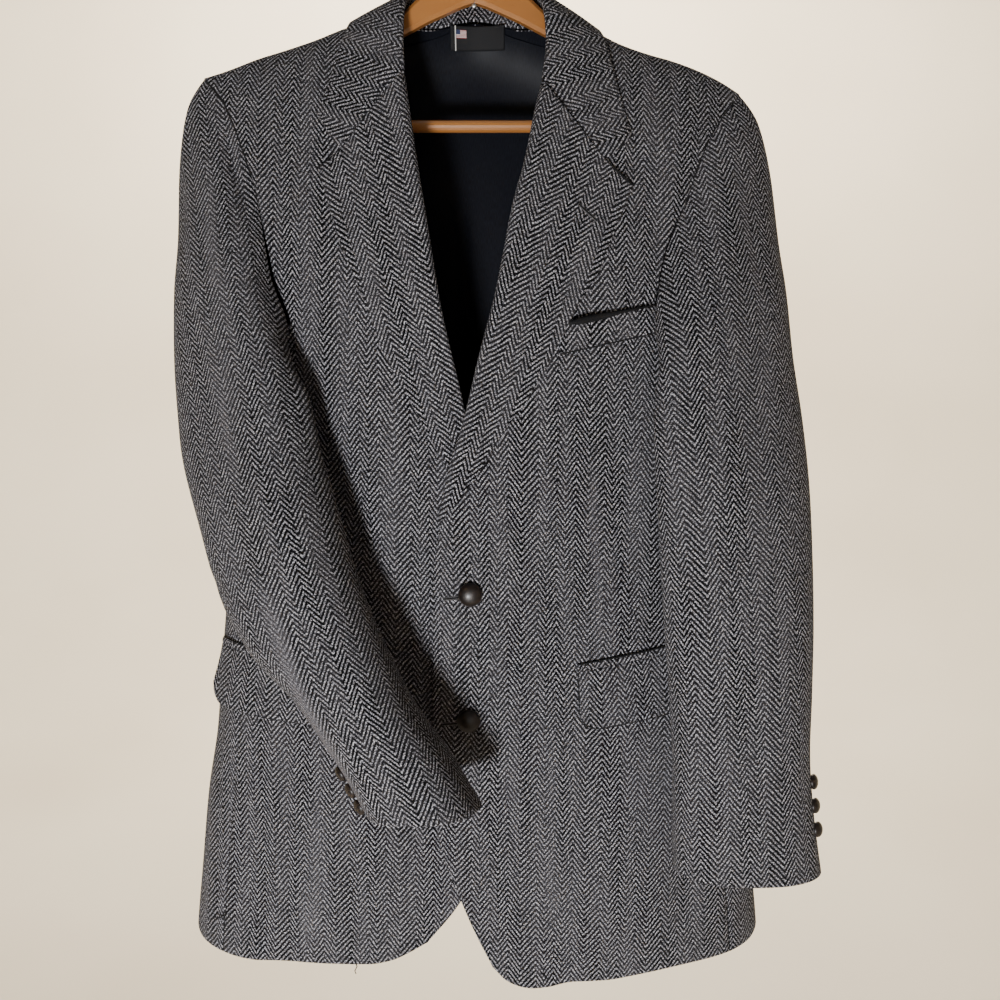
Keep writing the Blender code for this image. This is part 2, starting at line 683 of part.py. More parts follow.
def tube_at(side, stations, degrees):
    """Points of a sleeve below its cap, at stations down its table of rings and degrees round it."""
    table = SLEEVE[side]
    rows = smooth_at(stations, np.arange(len(table)), table)
    centres = (table[:, 0:3] + table[:, 3:6]) / 2
    step = 0.05
    after = smooth_at(np.minimum(stations + step, len(table) - 1), np.arange(len(table)), centres)
    before = smooth_at(np.maximum(stations - step, 0), np.arange(len(table)), centres)
    way = unit(after - before)
    centre = (rows[:, 0:3] + rows[:, 3:6]) / 2
    half = (rows[:, 3:6] - rows[:, 0:3]) / 2
    depth = unit(np.cross(half, way))
    depth *= -np.sign(depth[:, 1:2])
    turn = np.radians(degrees)
    cosine = np.sign(np.cos(turn)) * np.abs(np.cos(turn)) ** 0.85
    thick = np.where(np.sin(turn) > 0, rows[:, 6:7], rows[:, 7:8]) * np.sin(turn)
    tube = centre[:, None] + half[:, None] * cosine[..., None] + depth[:, None] * thick[..., None]
    for ring, row, at in zip(tube, rows, degrees):
        if row[9] > 0.01:
            behind = ease((at - 150) / 40) * ease((365 - at) / 1) * row[9]
            ring += (hugging(side, row, at) - ring) * behind[:, None]
    return tube


def sleeve_rings(side):
    """The outer face of a sleeve: one row of points for each ring, from the armhole down."""
    loop, _, (theta, leave, _, _) = armhole(side)
    theta = theta[:-1]
    stations = np.linspace(0, len(SLEEVE[side]) - 1, TUBE_RINGS[side])
    turn = smooth_at(stations, np.arange(len(SLEEVE[side])), SLEEVE[side][:, 8])
    # The lowest part of the armhole's front edge leads to the sleeve's inner edge.
    lead = FORE_LEAD * np.exp(-(((theta - 145) / 58) ** 2)) * np.exp(-stations / 2.5)[:, None]
    tube = tube_at(side, stations, theta[None] + turn[:, None] + lead)
    first = tube[0]
    start = loop[:-1]
    reach = np.linalg.norm(first - start, axis=-1, keepdims=True)
    begin = leave[:-1] * np.minimum(reach * 1.1, CAP_PULL * 1.6)
    finish = unit(tube[1] - tube[0]) * np.minimum(reach * 0.9, CAP_PULL * 1.6)
    shares = np.linspace(0, 1, CAP_RINGS + 1)[:-1]
    s = shares[:, None, None]
    cap = (1 + 2 * s) * (1 - s) ** 2 * start + s * (1 - s) ** 2 * begin
    cap += s * s * (3 - 2 * s) * first + s * s * (s - 1) * finish
    rings = np.concatenate([cap, tube])
    clear = np.concatenate([shares, np.ones(len(tube))])
    moved = keep_outside(rings, side, 0.9 + 4.1 * ease(clear / 0.4)[:, None])
    moved[0] = rings[0]
    return moved


def make_sleeve(side):
    """The upper and the under half of a sleeve, which meet at the fore and the hind seam."""
    rings = sleeve_rings(side)
    _, _, (_, _, sleeve_way, apart) = armhole(side)
    out = grid_out(rings, closed=True)
    centre = rings.mean(axis=1, keepdims=True)
    if np.mean(np.sum(out[4:] * (rings - centre)[4:], axis=-1)) < 0:
        out = -out
    out[0] = sleeve_way[:-1]
    rings[0] = rings[0] + apart[:-1] * SLEEVE_SEAM
    inside = rings - CLOTH * out
    count = rings.shape[1]
    hind = count - 4
    fore = TOP_ROWS + 1
    upper = [i % count for i in range(hind, count + fore + 1)]
    under = list(range(fore, hind + 1))
    word = "right" if side == RIGHT else "left"
    for piece, columns in (("upper", upper), ("under", under)):
        a = rings[:, columns].copy()
        b = inside[:, columns].copy()
        pull_in(a, b, ("first_column", "last_column"), SLEEVE_SEAM)
        wall(f"sleeve_{word}_{piece}", a, b)


# The lapels and the collar

ROLL_TURNS = 4
ACROSS = (0.25, 0.5, 0.76, 0.9, 1.0)  # the lines along a lapel, as shares of its width
GORGE_LINE = 2  # which of them ends at the corner of the notch


def edge_clear(side, z):
    """How far a lapel's outer edge stands off the front: more where the welt goes under it."""
    over_welt = np.exp(-(((z + 380) / 24) ** 2)) * (side == LEFT)
    return 0.9 + 2.6 * over_welt


def gorge_points(side, start, tip):
    """The points of a lapel's top edge at the shares ACROSS: to the notch, then out to its tip."""
    corner = np.array(GORGE[side][1], float)
    split = ACROSS[GORGE_LINE]
    return [start + (corner - start) * s / split if s <= split
            else corner + (tip - corner) * (s - split) / (1 - split) for s in ACROSS]


def make_lapel(side):
    """The turned-back part of a front: a roll of half a circle, then the shown side."""
    shares = np.linspace(0, 1, LAPEL_LINES + 1)
    roll = along(ROLL[side][1:], shares)
    edge = along(LAPEL_EDGE[side], shares)
    radius = roll_radius(side, roll[:, 1])
    start = roll + np.stack([side * (radius + CLOTH), 0 * radius], axis=-1)
    bent = gorge_points(side, start[0], edge[0])
    shown = []
    hidden = []
    along_roll = unit(np.gradient(roll, axis=0))
    for i in range(len(shares)):
        way = side * np.array((-along_roll[i][1], along_roll[i][0]))
        base = float(front_lift(side, start[i][0], start[i][1]))
        row_shown = []
        row_hidden = []
        for k in range(ROLL_TURNS + 1):
            turn = math.pi * k / ROLL_TURNS
            for reach, row in ((radius[i] + CLOTH, row_shown), (radius[i], row_hidden)):
                at = start[i] - way * reach * math.sin(turn)
                row.append(on_front(at[0], at[1], base + radius[i] - reach * math.cos(turn)))
        for j, s in enumerate(ACROSS):
            at = start[i] + (edge[i] - start[i]) * s
            at = at + (bent[j] - (start[0] + (edge[0] - start[0]) * s)) * max(1 - i / 4, 0) ** 2
            near = (1 - s) ** 1.5
            clear = max(2 * radius[i] * near + edge_clear(side, at[1]) * (1 - near), 0.8)
            base_at = float(front_lift(side, at[0], at[1]))
            row_hidden.append(on_front(at[0], at[1], base_at + clear))
            row_shown.append(on_front(at[0], at[1], base_at + clear + CLOTH))
        shown.append(row_shown)
        hidden.append(row_hidden)
    outer = np.array(shown)
    inner = np.array(hidden)
    pull_in(outer, inner, ("first_row",), 1.45)
    wall("lapel_right" if side == RIGHT else "lapel_left", outer, inner)


COLLAR_RADIUS = 2.8
STAND_TURNS = 2
FALL_TURNS = 4


def collar_lines(side):
    """The neck seam, the fold and the outer edge of the collar over one shoulder, as points from
    the gorge to the middle of the back."""
    inner_edge = front_inner_edge(side)[:4][::-1]
    neck = back_neck(side)[1:]
    seam = [on_front(x, z, -CLOTH / 2) for x, z in inner_edge]
    seam[-1] = seam[-1] * (1, 0, 1) + (0, 0, 0.6)
    seam += [torso(angle_of(x + side * 1e-6, z, back=True), z, -CLOTH / 2) for x, z in neck]
    seam = np.array(seam)
    away = np.zeros_like(seam)
    away[:, 0] = -side * np.array((1, 1, 0.9, 0.5, 0.3, 0.2, 0.1, 0.1, 0, 0))
    away[:, 2] = np.array((0, 0.3, 0.5, 0.9, 1, 1, 1, 1, 1, 1))
    seam = seam + unit(away) * np.array((0.8, 1.1, 1.3, 1.3, 1.3, 1.3, 1.3, 1.3, 1.3, 1.3))[:, None]
    top = ROLL[side][0]
    gorge = ROLL[side][1]
    fold = np.array([
        on_front(gorge[0] + side, gorge[1], ROLL_GAP),
        on_front(top[0] + side, top[1], 4.5),
        (side * 57, -18, -108),
        (side * 52, 4, -93),
        (side * 40, 25, -85),
        (side * 20, 40, -80.5),
        (0, 44, -80),
    ])
    tip = COLLAR_TIP[side]
    if side == RIGHT:
        front = [(-117, -180), (-110, -150), (-104, -130)]
        over = (-101, -1, -117.5)
    else:
        front = [(119, -192), (112, -160), (107, -138)]
        over = (102, -1, -123.5)
    edge = [on_front(*tip, 2.6)] + [on_front(x, z, 3.0) for x, z in front] + [np.array(over, float)]
    for x, z in ((94, -126.5), (80, -129), (58, -130), (30, -126), (0, -122)):
        at = angle_of(side * x + side * 1e-6, z, back=True)
        edge.append(torso(at, z, 3.4))
    return seam, fold, np.array(edge)


def collar_rows(side):
    """The middle surface of half the collar: the stand, the fold and the fall, from the gorge to
    the middle of the back."""
    seam, fold, edge = collar_lines(side)
    shares = np.linspace(0, 1, COLLAR_LINES + 1)
    rows = []
    seams = along(seam, shares)
    folds = along(fold, shares)
    edges = along(edge, shares)
    corner = np.array(GORGE[side][1], float)
    for i in range(COLLAR_LINES + 1):
        a, b, c = seams[i], folds[i], edges[i]
        up = unit(b - (a + c) / 2)
        if i == 0:
            up = unit((-side, 0.0, 0.0))
        span = c - a
        out = unit(span - np.dot(span, up) * up)
        middle = b - up * COLLAR_RADIUS
        first = middle - out * COLLAR_RADIUS
        last = middle + out * COLLAR_RADIUS
        row = [a + (first - a) * k / STAND_TURNS for k in range(STAND_TURNS)]
        for k in range(ROLL_TURNS):
            turn = math.pi * k / ROLL_TURNS
            row.append(middle + COLLAR_RADIUS * (up * math.sin(turn) - out * math.cos(turn)))
        for k in range(FALL_TURNS + 1):
            s = k / FALL_TURNS
            row.append(last + (c - last) * s + out * 1.6 * math.sin(math.pi * s) * min(i / 3, 1))
        rows.append(row)
    rows = np.array(rows)
    start = STAND_TURNS + ROLL_TURNS
    bent = rows[0, start:].copy()
    notch = on_front(corner[0], corner[1], 2.4)
    for k in range(1, FALL_TURNS):
        bent[k] = bent[0] + (notch - bent[0]) * k / (FALL_TURNS - 1)
    change = bent - rows[0, start:]
    for i in range(3):
        rows[i, start:] += change * (1 - i / 3) ** 2
    fall = rows[:, start:]
    rows[:, start:] = clear_torso(fall, 2.3, ease((shoulder_z(fall[..., 0]) - fall[..., 2] - 2) / 8))
    return rows


def make_collar():
    right = collar_rows(RIGHT)
    left = collar_rows(LEFT)[::-1]
    middle = np.concatenate([right, left[1:]])
    out = grid_out(middle)
    outer = middle + out * CLOTH / 2
    inner = middle - out * CLOTH / 2
    pull_in(outer, inner, ("first_row", "last_row"), 1.25)
    wall("collar", outer, inner)


# The pockets

FLAP_WIDTH = 155.0
FLAP_HEIGHT = 52.0
FLAP_START = 88.0
FLAP_CORNER = 18.0
FLAP_TOP = -661.0
FLAP_SLOPE = {RIGHT: 0.06, LEFT: 0.14}
JET_HEIGHT = 5.5


def flap_place(side, along_it):
    """The angle round the torso at a distance along the hip pocket from its front end."""
    turns = np.linspace(float(angle_of(side * FLAP_START, -690)), side * math.radians(115), 240)
    line = torso(turns, -690.0)
    run = np.concatenate([[0], np.cumsum(np.linalg.norm(np.diff(line, axis=0), axis=1))])
    return np.interp(along_it, run, turns)


def flap_top(side, along_it):
    return FLAP_TOP + FLAP_SLOPE[side] * along_it


def make_flap(side):
    """A hip pocket's flap, and the narrow jet over it."""
    word = "right" if side == RIGHT else "left"
    run = FLAP_WIDTH * np.array((0, 0.02, 0.06, 0.12, 0.24, 0.38, 0.52, 0.64, 0.76, 0.86, 0.94, 1))
    down = np.linspace(0, 1, 6)[:, None]
    near = np.minimum(run, FLAP_WIDTH - run)
    cut = FLAP_CORNER - np.sqrt(FLAP_CORNER**2 - np.maximum(FLAP_CORNER - near, 0) ** 2)
    z = flap_top(side, run) - down * (FLAP_HEIGHT - cut)
    angle = np.broadcast_to(flap_place(side, run), z.shape)
    bulge = (4.5 if side == RIGHT else 1.5) * (run / FLAP_WIDTH) ** 4 * down**1.5
    lift = 0.9 + bulge + 0.5 * down + front_lift(side, column_at(z, 1) * np.sin(angle), z)
    wall(f"flap_{word}", torso(angle, z, lift + CLOTH), torso(angle, z, lift))
    run = np.linspace(0, FLAP_WIDTH, 11)
    up = np.array((0.5, JET_HEIGHT + 0.5))[:, None]
    z = flap_top(side, run) + up
    angle = np.broadcast_to(flap_place(side, run), z.shape)
    lift = 0.9 + front_lift(side, column_at(z, 1) * np.sin(angle), z)
    wall(f"jet_{word}", torso(angle, z, lift + 1.6), torso(angle, z, lift))


WELT = ((70, -373), (148, -356))  # the two ends of its top edge
WELT_HEIGHT = 21.0


def make_welt():
    """The breast pocket's welt, whose mouth gapes a little."""
    u = np.linspace(0, 1, 8)
    down = np.linspace(0, 1, 4)[:, None]
    x = WELT[0][0] + (WELT[1][0] - WELT[0][0]) * u + 0 * down
    z = WELT[0][1] + (WELT[1][1] - WELT[0][1]) * u - WELT_HEIGHT * down
    gape = 1.8 * np.sin(np.pi * np.clip((u - 0.25) / 0.75, 0, 1)) * (1 - down) ** 1.5
    lift = 0.7 + gape
    wall("breast_welt", on_front(x, z, lift + 1.7), on_front(x, z, lift))


# The lining and the label

LINING_HALF = 165.0
LINING_HEM = -890.0
LABEL_SIZE = (48.0, 18.0)
LABEL_TOP = -113.5
LABEL_X = 2.0


def behind(x, z):
    """The angle of a point on the back, counted on past half a turn on both sides."""
    angle = angle_of(x, z, back=True)
    return np.where(angle < 0, angle + 2 * np.pi, angle)


def make_lining():
    u = np.linspace(-1, 1, 13)[None, :]
    x = LINING_HALF * np.sign(u) * np.abs(u) ** 1.3
    top = shoulder_z(x) - np.interp(np.abs(x), (0, 30, 48, 60, 74), (23, 22, 20, 18, 17))
    share = np.linspace(1, 0, 13)[:, None] ** 1.8
    z = top + (LINING_HEM - top) * share
    x = x + np.zeros_like(z)
    lift = -CLOTH - 1.1 - 0.8 * ease((z + 330) / 100)
    outer = torso(behind(x, z), z, lift)
    wall("lining_back", outer, torso(behind(x, z), z, lift - LINING), "satin")


def make_label():
    width, height = LABEL_SIZE
    x, z = np.meshgrid(np.linspace(-width / 2, width / 2, 5) + LABEL_X,
                       LABEL_TOP - height * np.linspace(0, 1, 3))
    angle = behind(x, z)
    wall("label", torso(angle, z, -CLOTH - 4.0), torso(angle, z, -CLOTH - 4.8), "label")


# The buttons

def turned(name, profile, at, axis, kind, steps):
    """A turned piece standing at a point, its profile given from the top down as radius and
    height."""
    mesh = bpy.data.meshes.new(name)
    edges = [(i, i + 1) for i in range(len(profile) - 1)]
    mesh.from_pydata([(r * MM, 0, h * MM) for r, h in profile], edges, [])
    mesh.materials.append(material(name, kind))
    made = bpy.data.objects.new(name, mesh)
    jacket.objects.link(made)
    screw = made.modifiers.new("Turn", "SCREW")
    screw.axis = "Z"
    screw.angle = math.tau
    screw.steps = steps
    screw.render_steps = steps
    screw.use_merge_vertices = True
    screw.merge_threshold = 0.00005
    screw.use_smooth_shade = True
    made.location = mathutils.Vector(at) * MM
    made.rotation_mode = "QUATERNION"
    made.rotation_quaternion = mathutils.Vector(axis).to_track_quat("Z", "Y")
    return made


def dome(radius, height):
    """The profile of a domed button, from the middle of its face round to the middle of its back."""
    return [(0, height), (radius * 0.4, height * 0.94), (radius * 0.72, height * 0.74),
            (radius * 0.93, height * 0.46), (radius, height * 0.24), (radius * 0.88, height * 0.06),
            (radius * 0.5, 0), (0, 0)]


FRONT_BUTTONS = (("top", -3, -592), ("bottom", -5, -702))  # name, x, z
# The places of the cuff buttons: the station down the table SLEEVE, and degrees round the sleeve
CUFF_BUTTONS = {
    RIGHT: ((7.72, 12), (8.13, 13), (8.66, 14)),
    LEFT: ((6.6, 14), (6.95, 17), (7.32, 16)),
}


def on_sleeve(side, station, degrees):
    """A point on a sleeve's outer face and the direction out of it."""
    def point(s, d):
        return tube_at(side, np.array([s]), np.array([[float(d)]]))[0, 0]

    at = point(station, degrees)
    out = unit(np.cross(point(station, degrees + 1) - at, point(station + 0.02, degrees) - at))
    middle = (point(station, 0) + point(station, 180)) / 2
    return at, out if np.dot(out, at - middle) > 0 else -out


def make_buttons():
    for word, x, z in FRONT_BUTTONS:
        at = on_front(x, z, 0.7)
        turned(f"button_front_{word}", dome(10, 8), at, out_of(angle_of(x, z), z), "horn", 20)
    for side in (RIGHT, LEFT):
        word = "right" if side == RIGHT else "left"
        for number, (station, degrees) in enumerate(CUFF_BUTTONS[side], 1):
            at, out = on_sleeve(side, station, degrees)
            turned(f"cuff_button_{word}_{number}", dome(6.5, 5), at + out * 0.8, out, "horn", 14)


# The hanger

ARM = np.array([
    # x,  top,  bottom
    (0.2, -60, -105),
    (10, -66, -108),
    (22, -77, -113),
    (38, -92, -120),
    (50, -102, -126),
    (58, -109.5, -130),
    (74, -123, -137),
    (95, -123.8, -144),
    (120, -131, -153),
    (150, -142.5, -164),
    (178, -151, -173),
    (187, -154, -178),
    (190, -155.5, -212),
    (204, -163, -210),
])
ARM_THICK = 12.0
BAR_RADIUS = 5.2
BAR_Z = -203.0
HOOK_INSIDE = 20.0
HOOK_WIRE = 2.0


def make_arm(side):
    """One sloping arm of the hanger, lofted out from the middle."""
    rings = []
    for x, top, bottom in ARM:
        if x > 60:
            under = min(float(shoulder_z(x)), float(shoulder_z(-x)))
            top = min(top, under - 3.5)
        half = ARM_THICK / 2
        section = ((0, top), (-half * 0.6, top - 1.4), (-half, top - 5), (-half, bottom + 4),
                   (-half * 0.6, bottom + 0.8), (half * 0.6, bottom + 0.8), (half, bottom + 4),
                   (half, top - 5), (half * 0.6, top - 1.4))
        rings.append([(side * x, y, z) for y, z in section])
    count = len(rings[0])
    points = [p for ring in rings for p in ring]
    faces = list(quads(len(rings), count, closed=True))
    faces.append(tuple(range(count))[::-1])
    faces.append(tuple((len(rings) - 1) * count + i for i in range(count)))
    word = "right" if side == RIGHT else "left"
    add_solid(f"hanger_arm_{word}", points, faces, "wood")


def make_hook():
    """The wire hook: its shank in the hanger's middle, then most of a circle."""
    radius = HOOK_INSIDE + HOOK_WIRE
    turns = np.radians(np.linspace(-75, 205, 20))
    line = [(0, -59.5), (0, -51), (0.8, -47), (2.6, -43.8)]
    line += [(radius * math.cos(t), -HOOK_INSIDE + radius * math.sin(t)) for t in turns]
    curve = bpy.data.curves.new("hanger_hook", "CURVE")
    curve.dimensions = "3D"
    curve.bevel_depth = HOOK_WIRE * MM
    curve.bevel_resolution = 2
    curve.use_fill_caps = True
    spline = curve.splines.new("POLY")
    spline.points.add(len(line) - 1)
    for point, (x, z) in zip(spline.points, line):
        point.co = (x * MM, 0, z * MM, 1)
        point.radius = 1
    curve.materials.append(material("hanger_hook", "steel"))
    jacket.objects.link(bpy.data.objects.new("hanger_hook", curve))


def make_bar():
    """The round bar across the hanger."""
    length = 188.0
    profile = [(0, length), (BAR_RADIUS - 1, length), (BAR_RADIUS, length - 1), (BAR_RADIUS, 0),
               (BAR_RADIUS, 1 - length), (BAR_RADIUS - 1, -length), (0, -length)]
    turned("hanger_bar", profile, (0, 0, BAR_Z), (1, 0, 0), "wood", 16)


# Build

for old in list(bpy.data.objects):
    bpy.data.objects.remove(old, do_unlink=True)
jacket = bpy.data.collections.new("tweed_jacket")
bpy.context.scene.collection.children.link(jacket)

for which in (RIGHT, LEFT):
    make_front(which)
    make_side(which)
    make_back(which)
    make_sleeve(which)
    make_lapel(which)
    make_flap(which)
    make_arm(which)
make_collar()
make_welt()
make_lining()
make_label()
make_buttons()
make_hook()
make_bar()
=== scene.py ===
import math

import bpy
import mathutils
import numpy as np
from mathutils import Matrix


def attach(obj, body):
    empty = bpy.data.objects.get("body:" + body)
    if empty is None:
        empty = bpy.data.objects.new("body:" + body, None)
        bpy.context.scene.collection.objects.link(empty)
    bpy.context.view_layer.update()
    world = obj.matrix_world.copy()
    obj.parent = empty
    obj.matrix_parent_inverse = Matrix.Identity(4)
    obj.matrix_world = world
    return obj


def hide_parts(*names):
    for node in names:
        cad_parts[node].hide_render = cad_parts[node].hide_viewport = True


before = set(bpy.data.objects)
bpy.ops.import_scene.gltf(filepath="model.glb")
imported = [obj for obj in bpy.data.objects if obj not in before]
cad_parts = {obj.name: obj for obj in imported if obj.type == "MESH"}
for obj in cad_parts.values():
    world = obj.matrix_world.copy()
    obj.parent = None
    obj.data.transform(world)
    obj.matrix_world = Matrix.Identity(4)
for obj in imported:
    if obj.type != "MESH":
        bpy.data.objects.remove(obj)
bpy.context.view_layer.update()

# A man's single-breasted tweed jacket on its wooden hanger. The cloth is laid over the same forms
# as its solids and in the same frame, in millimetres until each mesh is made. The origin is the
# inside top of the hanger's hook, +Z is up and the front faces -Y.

MM = 0.001
RIGHT = -1  # the wearer's right, which is -X
LEFT = 1
WORD = {RIGHT: "right", LEFT: "left"}
CLOTH = 2.0  # tweed with its canvas and lining
LINING = 1.0

# The torso, up its height: half width, depth in front of and behind the shoulder line, and how
# square the front is
TORSO = np.array([
    # z,  half width, front, back, squareness
    (-955, 267, 75, 36, 0.22),
    (-921, 264, 76, 36, 0.22),
    (-870, 258, 76, 36, 0.21),
    (-801, 250, 77, 36, 0.19),
    (-725, 239, 78, 35, 0.14),
    (-680, 234, 79, 35, 0.08),
    (-630, 228, 80, 35, 0.03),
    (-560, 221, 82, 36, 0.0),
    (-480, 218, 84, 40, 0.0),
    (-400, 222, 82, 44, 0.0),
    (-320, 229, 76, 47, 0.04),
    (-250, 242, 68, 49, 0.1),
    (-200, 251, 62, 51, 0.12),
    (-160, 256, 56, 53, 0.12),
    (-60, 258, 50, 54, 0.12),
])
FRONT_ROUND = 250.0  # height over which the front comes forward from the shoulder line
BACK_ROUND = 90.0
BACK_SQUARE = 0.35
SIDE_SEAM = 0.875  # where the side panels start, as a share of the half width

SHOULDER = np.array([  # x and z
    (-229, -164), (-209, -158), (-184, -149), (-157, -141), (-135, -134), (-105, -123),
    (-74, -117), (-40, -104), (0, -90), (40, -104), (74, -119), (106, -129), (121, -136),
    (144, -144), (166, -150), (189, -158), (212, -169), (225, -177),
])
TIP_X = {RIGHT: -229.0, LEFT: 225.0}
NECK_X = {RIGHT: -74.0, LEFT: 74.0}

# The armhole seam in front, as x and z from the tip of the shoulder to the side panel
ARMHOLE_FRONT = {
    RIGHT: ((-229, -164), (-208, -188), (-197, -213), (-186, -241), (-178, -266), (-173, -284),
            (-170, -311), (-164, -335), (-157, -357), (-151, -377), (-161, -394), (-194, -403)),
    LEFT: ((225, -177), (203, -205), (187, -236), (178, -262), (170, -282), (161, -300),
           (154, -318), (151, -340), (149, -362), (149, -380), (162, -396), (194, -404)),
}
ARMHOLE_BACK = {
    RIGHT: ((-229, -164), (-213, -190), (-203, -220), (-196, -255), (-191, -290), (-188, -325),
            (-188, -360), (-194, -394)),
    LEFT: ((225, -177), (212, -198), (203, -225), (196, -258), (191, -292), (188, -326),
           (188, -360), (194, -394)),
}

# The line that each lapel rolls over, as it shows from the front, from the gorge down
ROLL = {
    RIGHT: ((-56, -140), (-55, -171), (-52, -190), (-48, -217), (-43, -249), (-36, -290),
            (-32, -315), (-26, -353), (-19, -388), (-11, -422), (-5, -450), (2, -480),
            (10, -510), (16, -535)),
    LEFT: ((58, -140), (54, -180), (51, -192), (47, -209), (42, -236), (31, -277), (23, -319),
           (16, -353), (5, -394), (-3, -428), (-11, -459), (-17, -477), (-24, -503),
           (-29, -530)),
}
# The outer edge of each lapel, from its tip down
LAPEL_EDGE = {
    RIGHT: ((-126, -245), (-120, -263), (-113, -284), (-105, -307), (-94, -332), (-87, -350),
            (-76, -384), (-61, -414), (-47, -440), (-31, -470), (-17, -494), (-2, -516),
            (10, -533)),
    LEFT: ((129, -259), (120, -280), (110, -302), (104, -319), (94, -339), (85, -352),
           (74, -371), (63, -394), (47, -424), (37, -439), (23, -458), (8, -484), (-9, -508),
           (-23, -527)),
}
NOTCH = {RIGHT: (-106, -230), LEFT: (105, -238)}  # its inner corner
COLLAR_TIP = {RIGHT: (-126, -202), LEFT: (128, -220)}
LAPEL_LINES = 16
ROLL_GAP = 2.5  # the inside radius of the roll

# The free edge of each front below its lapel, round the cutaway to the lowest corner
FRONT_EDGE = {
    RIGHT: ((18, -560), (18, -650), (18, -740), (15, -790), (6, -832), (-8, -864),
            (-25, -889), (-43, -910)),
    LEFT: ((-32, -557), (-34, -601), (-35, -646), (-35, -754), (-34, -790), (-29, -822),
           (-19, -851), (-8, -878), (2, -905), (15, -930)),
}
HEM = {
    RIGHT: ((-43, -910), (-71, -925), (-89, -929), (-109, -930), (-133, -931), (-173, -932),
            (-207, -936), (-231, -935)),
    LEFT: ((15, -930), (28, -944), (45, -951), (61, -951), (78, -947), (118, -946), (142, -943),
           (182, -938), (231, -935)),
}
SIDE_HEM = ((0, -935), (0.25, -931), (0.5, -923), (0.75, -922), (1, -923))
BACK_HEM = -923.0

COLUMNS = 12  # of each front and back
LOW_ROWS = 14  # from the hem to the underarm
TOP_ROWS = 11  # from the underarm to the shoulder
LOW_SHARES = np.linspace(0, 1, LOW_ROWS + 1)[:-1]
# How far each upper row lies below the shoulder line, closer together near it
TOP_SHARES = 1 - np.cos(np.radians([90, 85.1, *np.linspace(78.5, 0, TOP_ROWS - 1)]))
UNDERARM = {RIGHT: -364, LEFT: -372}  # where the upper rows start at a front's inner edge
SIDE_COLUMNS = 5
NECK_COLUMNS = 4  # of a back, along the neck
BACK_RISE = 12.0  # how much higher the underarm row lies at the centre of the back
NUDGE = 1e-6  # keeps a point of the centre back seam on its own side

# The folds of the fronts, given as the creases further down are
FOLDS = (
    (-96, -300, -150, -200, 0, 26, -2.5), (92, -300, 150, -215, 0, 24, -2.0),
    (-60, -560, -150, -500, 0, 22, -2.5), (-30, -600, -140, -590, 0, 20, -2.0),
    (40, -600, 150, -560, 0, 24, -2.5), (30, -590, 120, -500, 0, 18, -1.5),
    (-150, -930, -150, -760, 0, 34, 3.0), (120, -940, 128, -740, 0, 36, 3.0),
    (190, -935, 190, -800, 0, 24, -3.0), (-205, -930, -200, -790, 0, 22, -3.0),
)
FOLD_REACH = 1.12  # how far along its length a fold has faded out
FOLD_TOP, FOLD_FADE = -150.0, 80.0  # where the folds start, and over what height

# The sleeves, ring by ring from the underarm down: the inner and the outer edge, the depth of the
# front and the back half, how far the seams have turned in degrees, and how closely the sleeve's
# hidden side lies along the torso (1 is against it)
SLEEVE = {
    RIGHT: np.array([
        # inner x, y, z,     outer x, y, z,     front, back, turn, hug
        (-131, -89, -427, -253, -12, -350, 33, 17, 0, 1.0),
        (-124, -95, -452, -252, -20, -406, 36, 20, 3, 1.0),
        (-119, -99, -474, -247, -34, -455, 37, 22, 6, 0.7),
        (-110, -107, -503, -237, -54, -503, 38, 24, 10, 0.3),
        (-101, -115, -537, -214, -84, -559, 38, 28, 15, 0.0),
        (-89, -122, -577, -190, -108, -619, 38, 32, 20, 0.0),
        (-71, -130, -617, -150, -124, -655, 40, 34, 26, 0.0),
        (-52, -136, -658, -120, -131, -695, 41, 34, 32, 0.0),
        (-20, -141, -703, -97, -138, -731, 41, 34, 38, 0.0),
        (7, -146, -747, -84, -142, -755, 40, 34, 42, 0.0),
    ]),
    LEFT: np.array([
        (146, -83, -427, 263, -16, -348, 33, 17, 0, 1.0),
        (145, -87, -456, 269, -26, -406, 34, 20, 2, 1.0),
        (146, -90, -484, 277, -40, -466, 35, 22, 4, 0.7),
        (150, -94, -535, 281, -54, -525, 36, 23, 7, 0.3),
        (155, -96, -600, 283, -66, -592, 36, 24, 10, 0.0),
        (161, -96, -662, 284, -74, -655, 35, 25, 14, 0.0),
        (166, -96, -725, 283, -78, -718, 34, 26, 18, 0.0),
        (167, -96, -782, 288, -80, -776, 34, 27, 22, 0.0),
        (170, -93, -829, 297, -82, -833, 34, 28, 25, 0.0),
    ]),
}
SLEEVE_SQUARE = 0.85  # below 1 its section is fuller than an ellipse
CAP_RINGS = 5
TUBE_RINGS = {RIGHT: 11, LEFT: 10}
# The way that the sleeve leaves the armhole: at the tip of the shoulder, then every 45 degrees
# forward and down round the armhole (out, forward, down)
LEAVES = np.array([
    (0.8, 0.0, 0.6), (0.7, 0.35, 0.6), (0.5, 0.6, 0.6), (0.15, 0.75, 0.65),
    (0.85, 0.2, 0.5), (0.92, -0.1, 0.65), (0.8, -0.3, 0.5), (0.65, -0.2, 0.74),
])
CAP_PULL = 120.0  # the most that the cap keeps the way it leaves the armhole
# How far the cloth below the front of the armhole is led on to the sleeve's inner edge, in
# degrees, where that is most, how widely it spreads, and over how many of its rings it fades
FORE_LEAD, FORE_AT, FORE_SPREAD, FORE_RINGS = 28.0, 145.0, 58.0, 2.5
# Where the corners of the side panel come on a sleeve, in degrees round it from its outer edge
FRONT_CORNER = 170.0
BACK_CORNER = 285.0
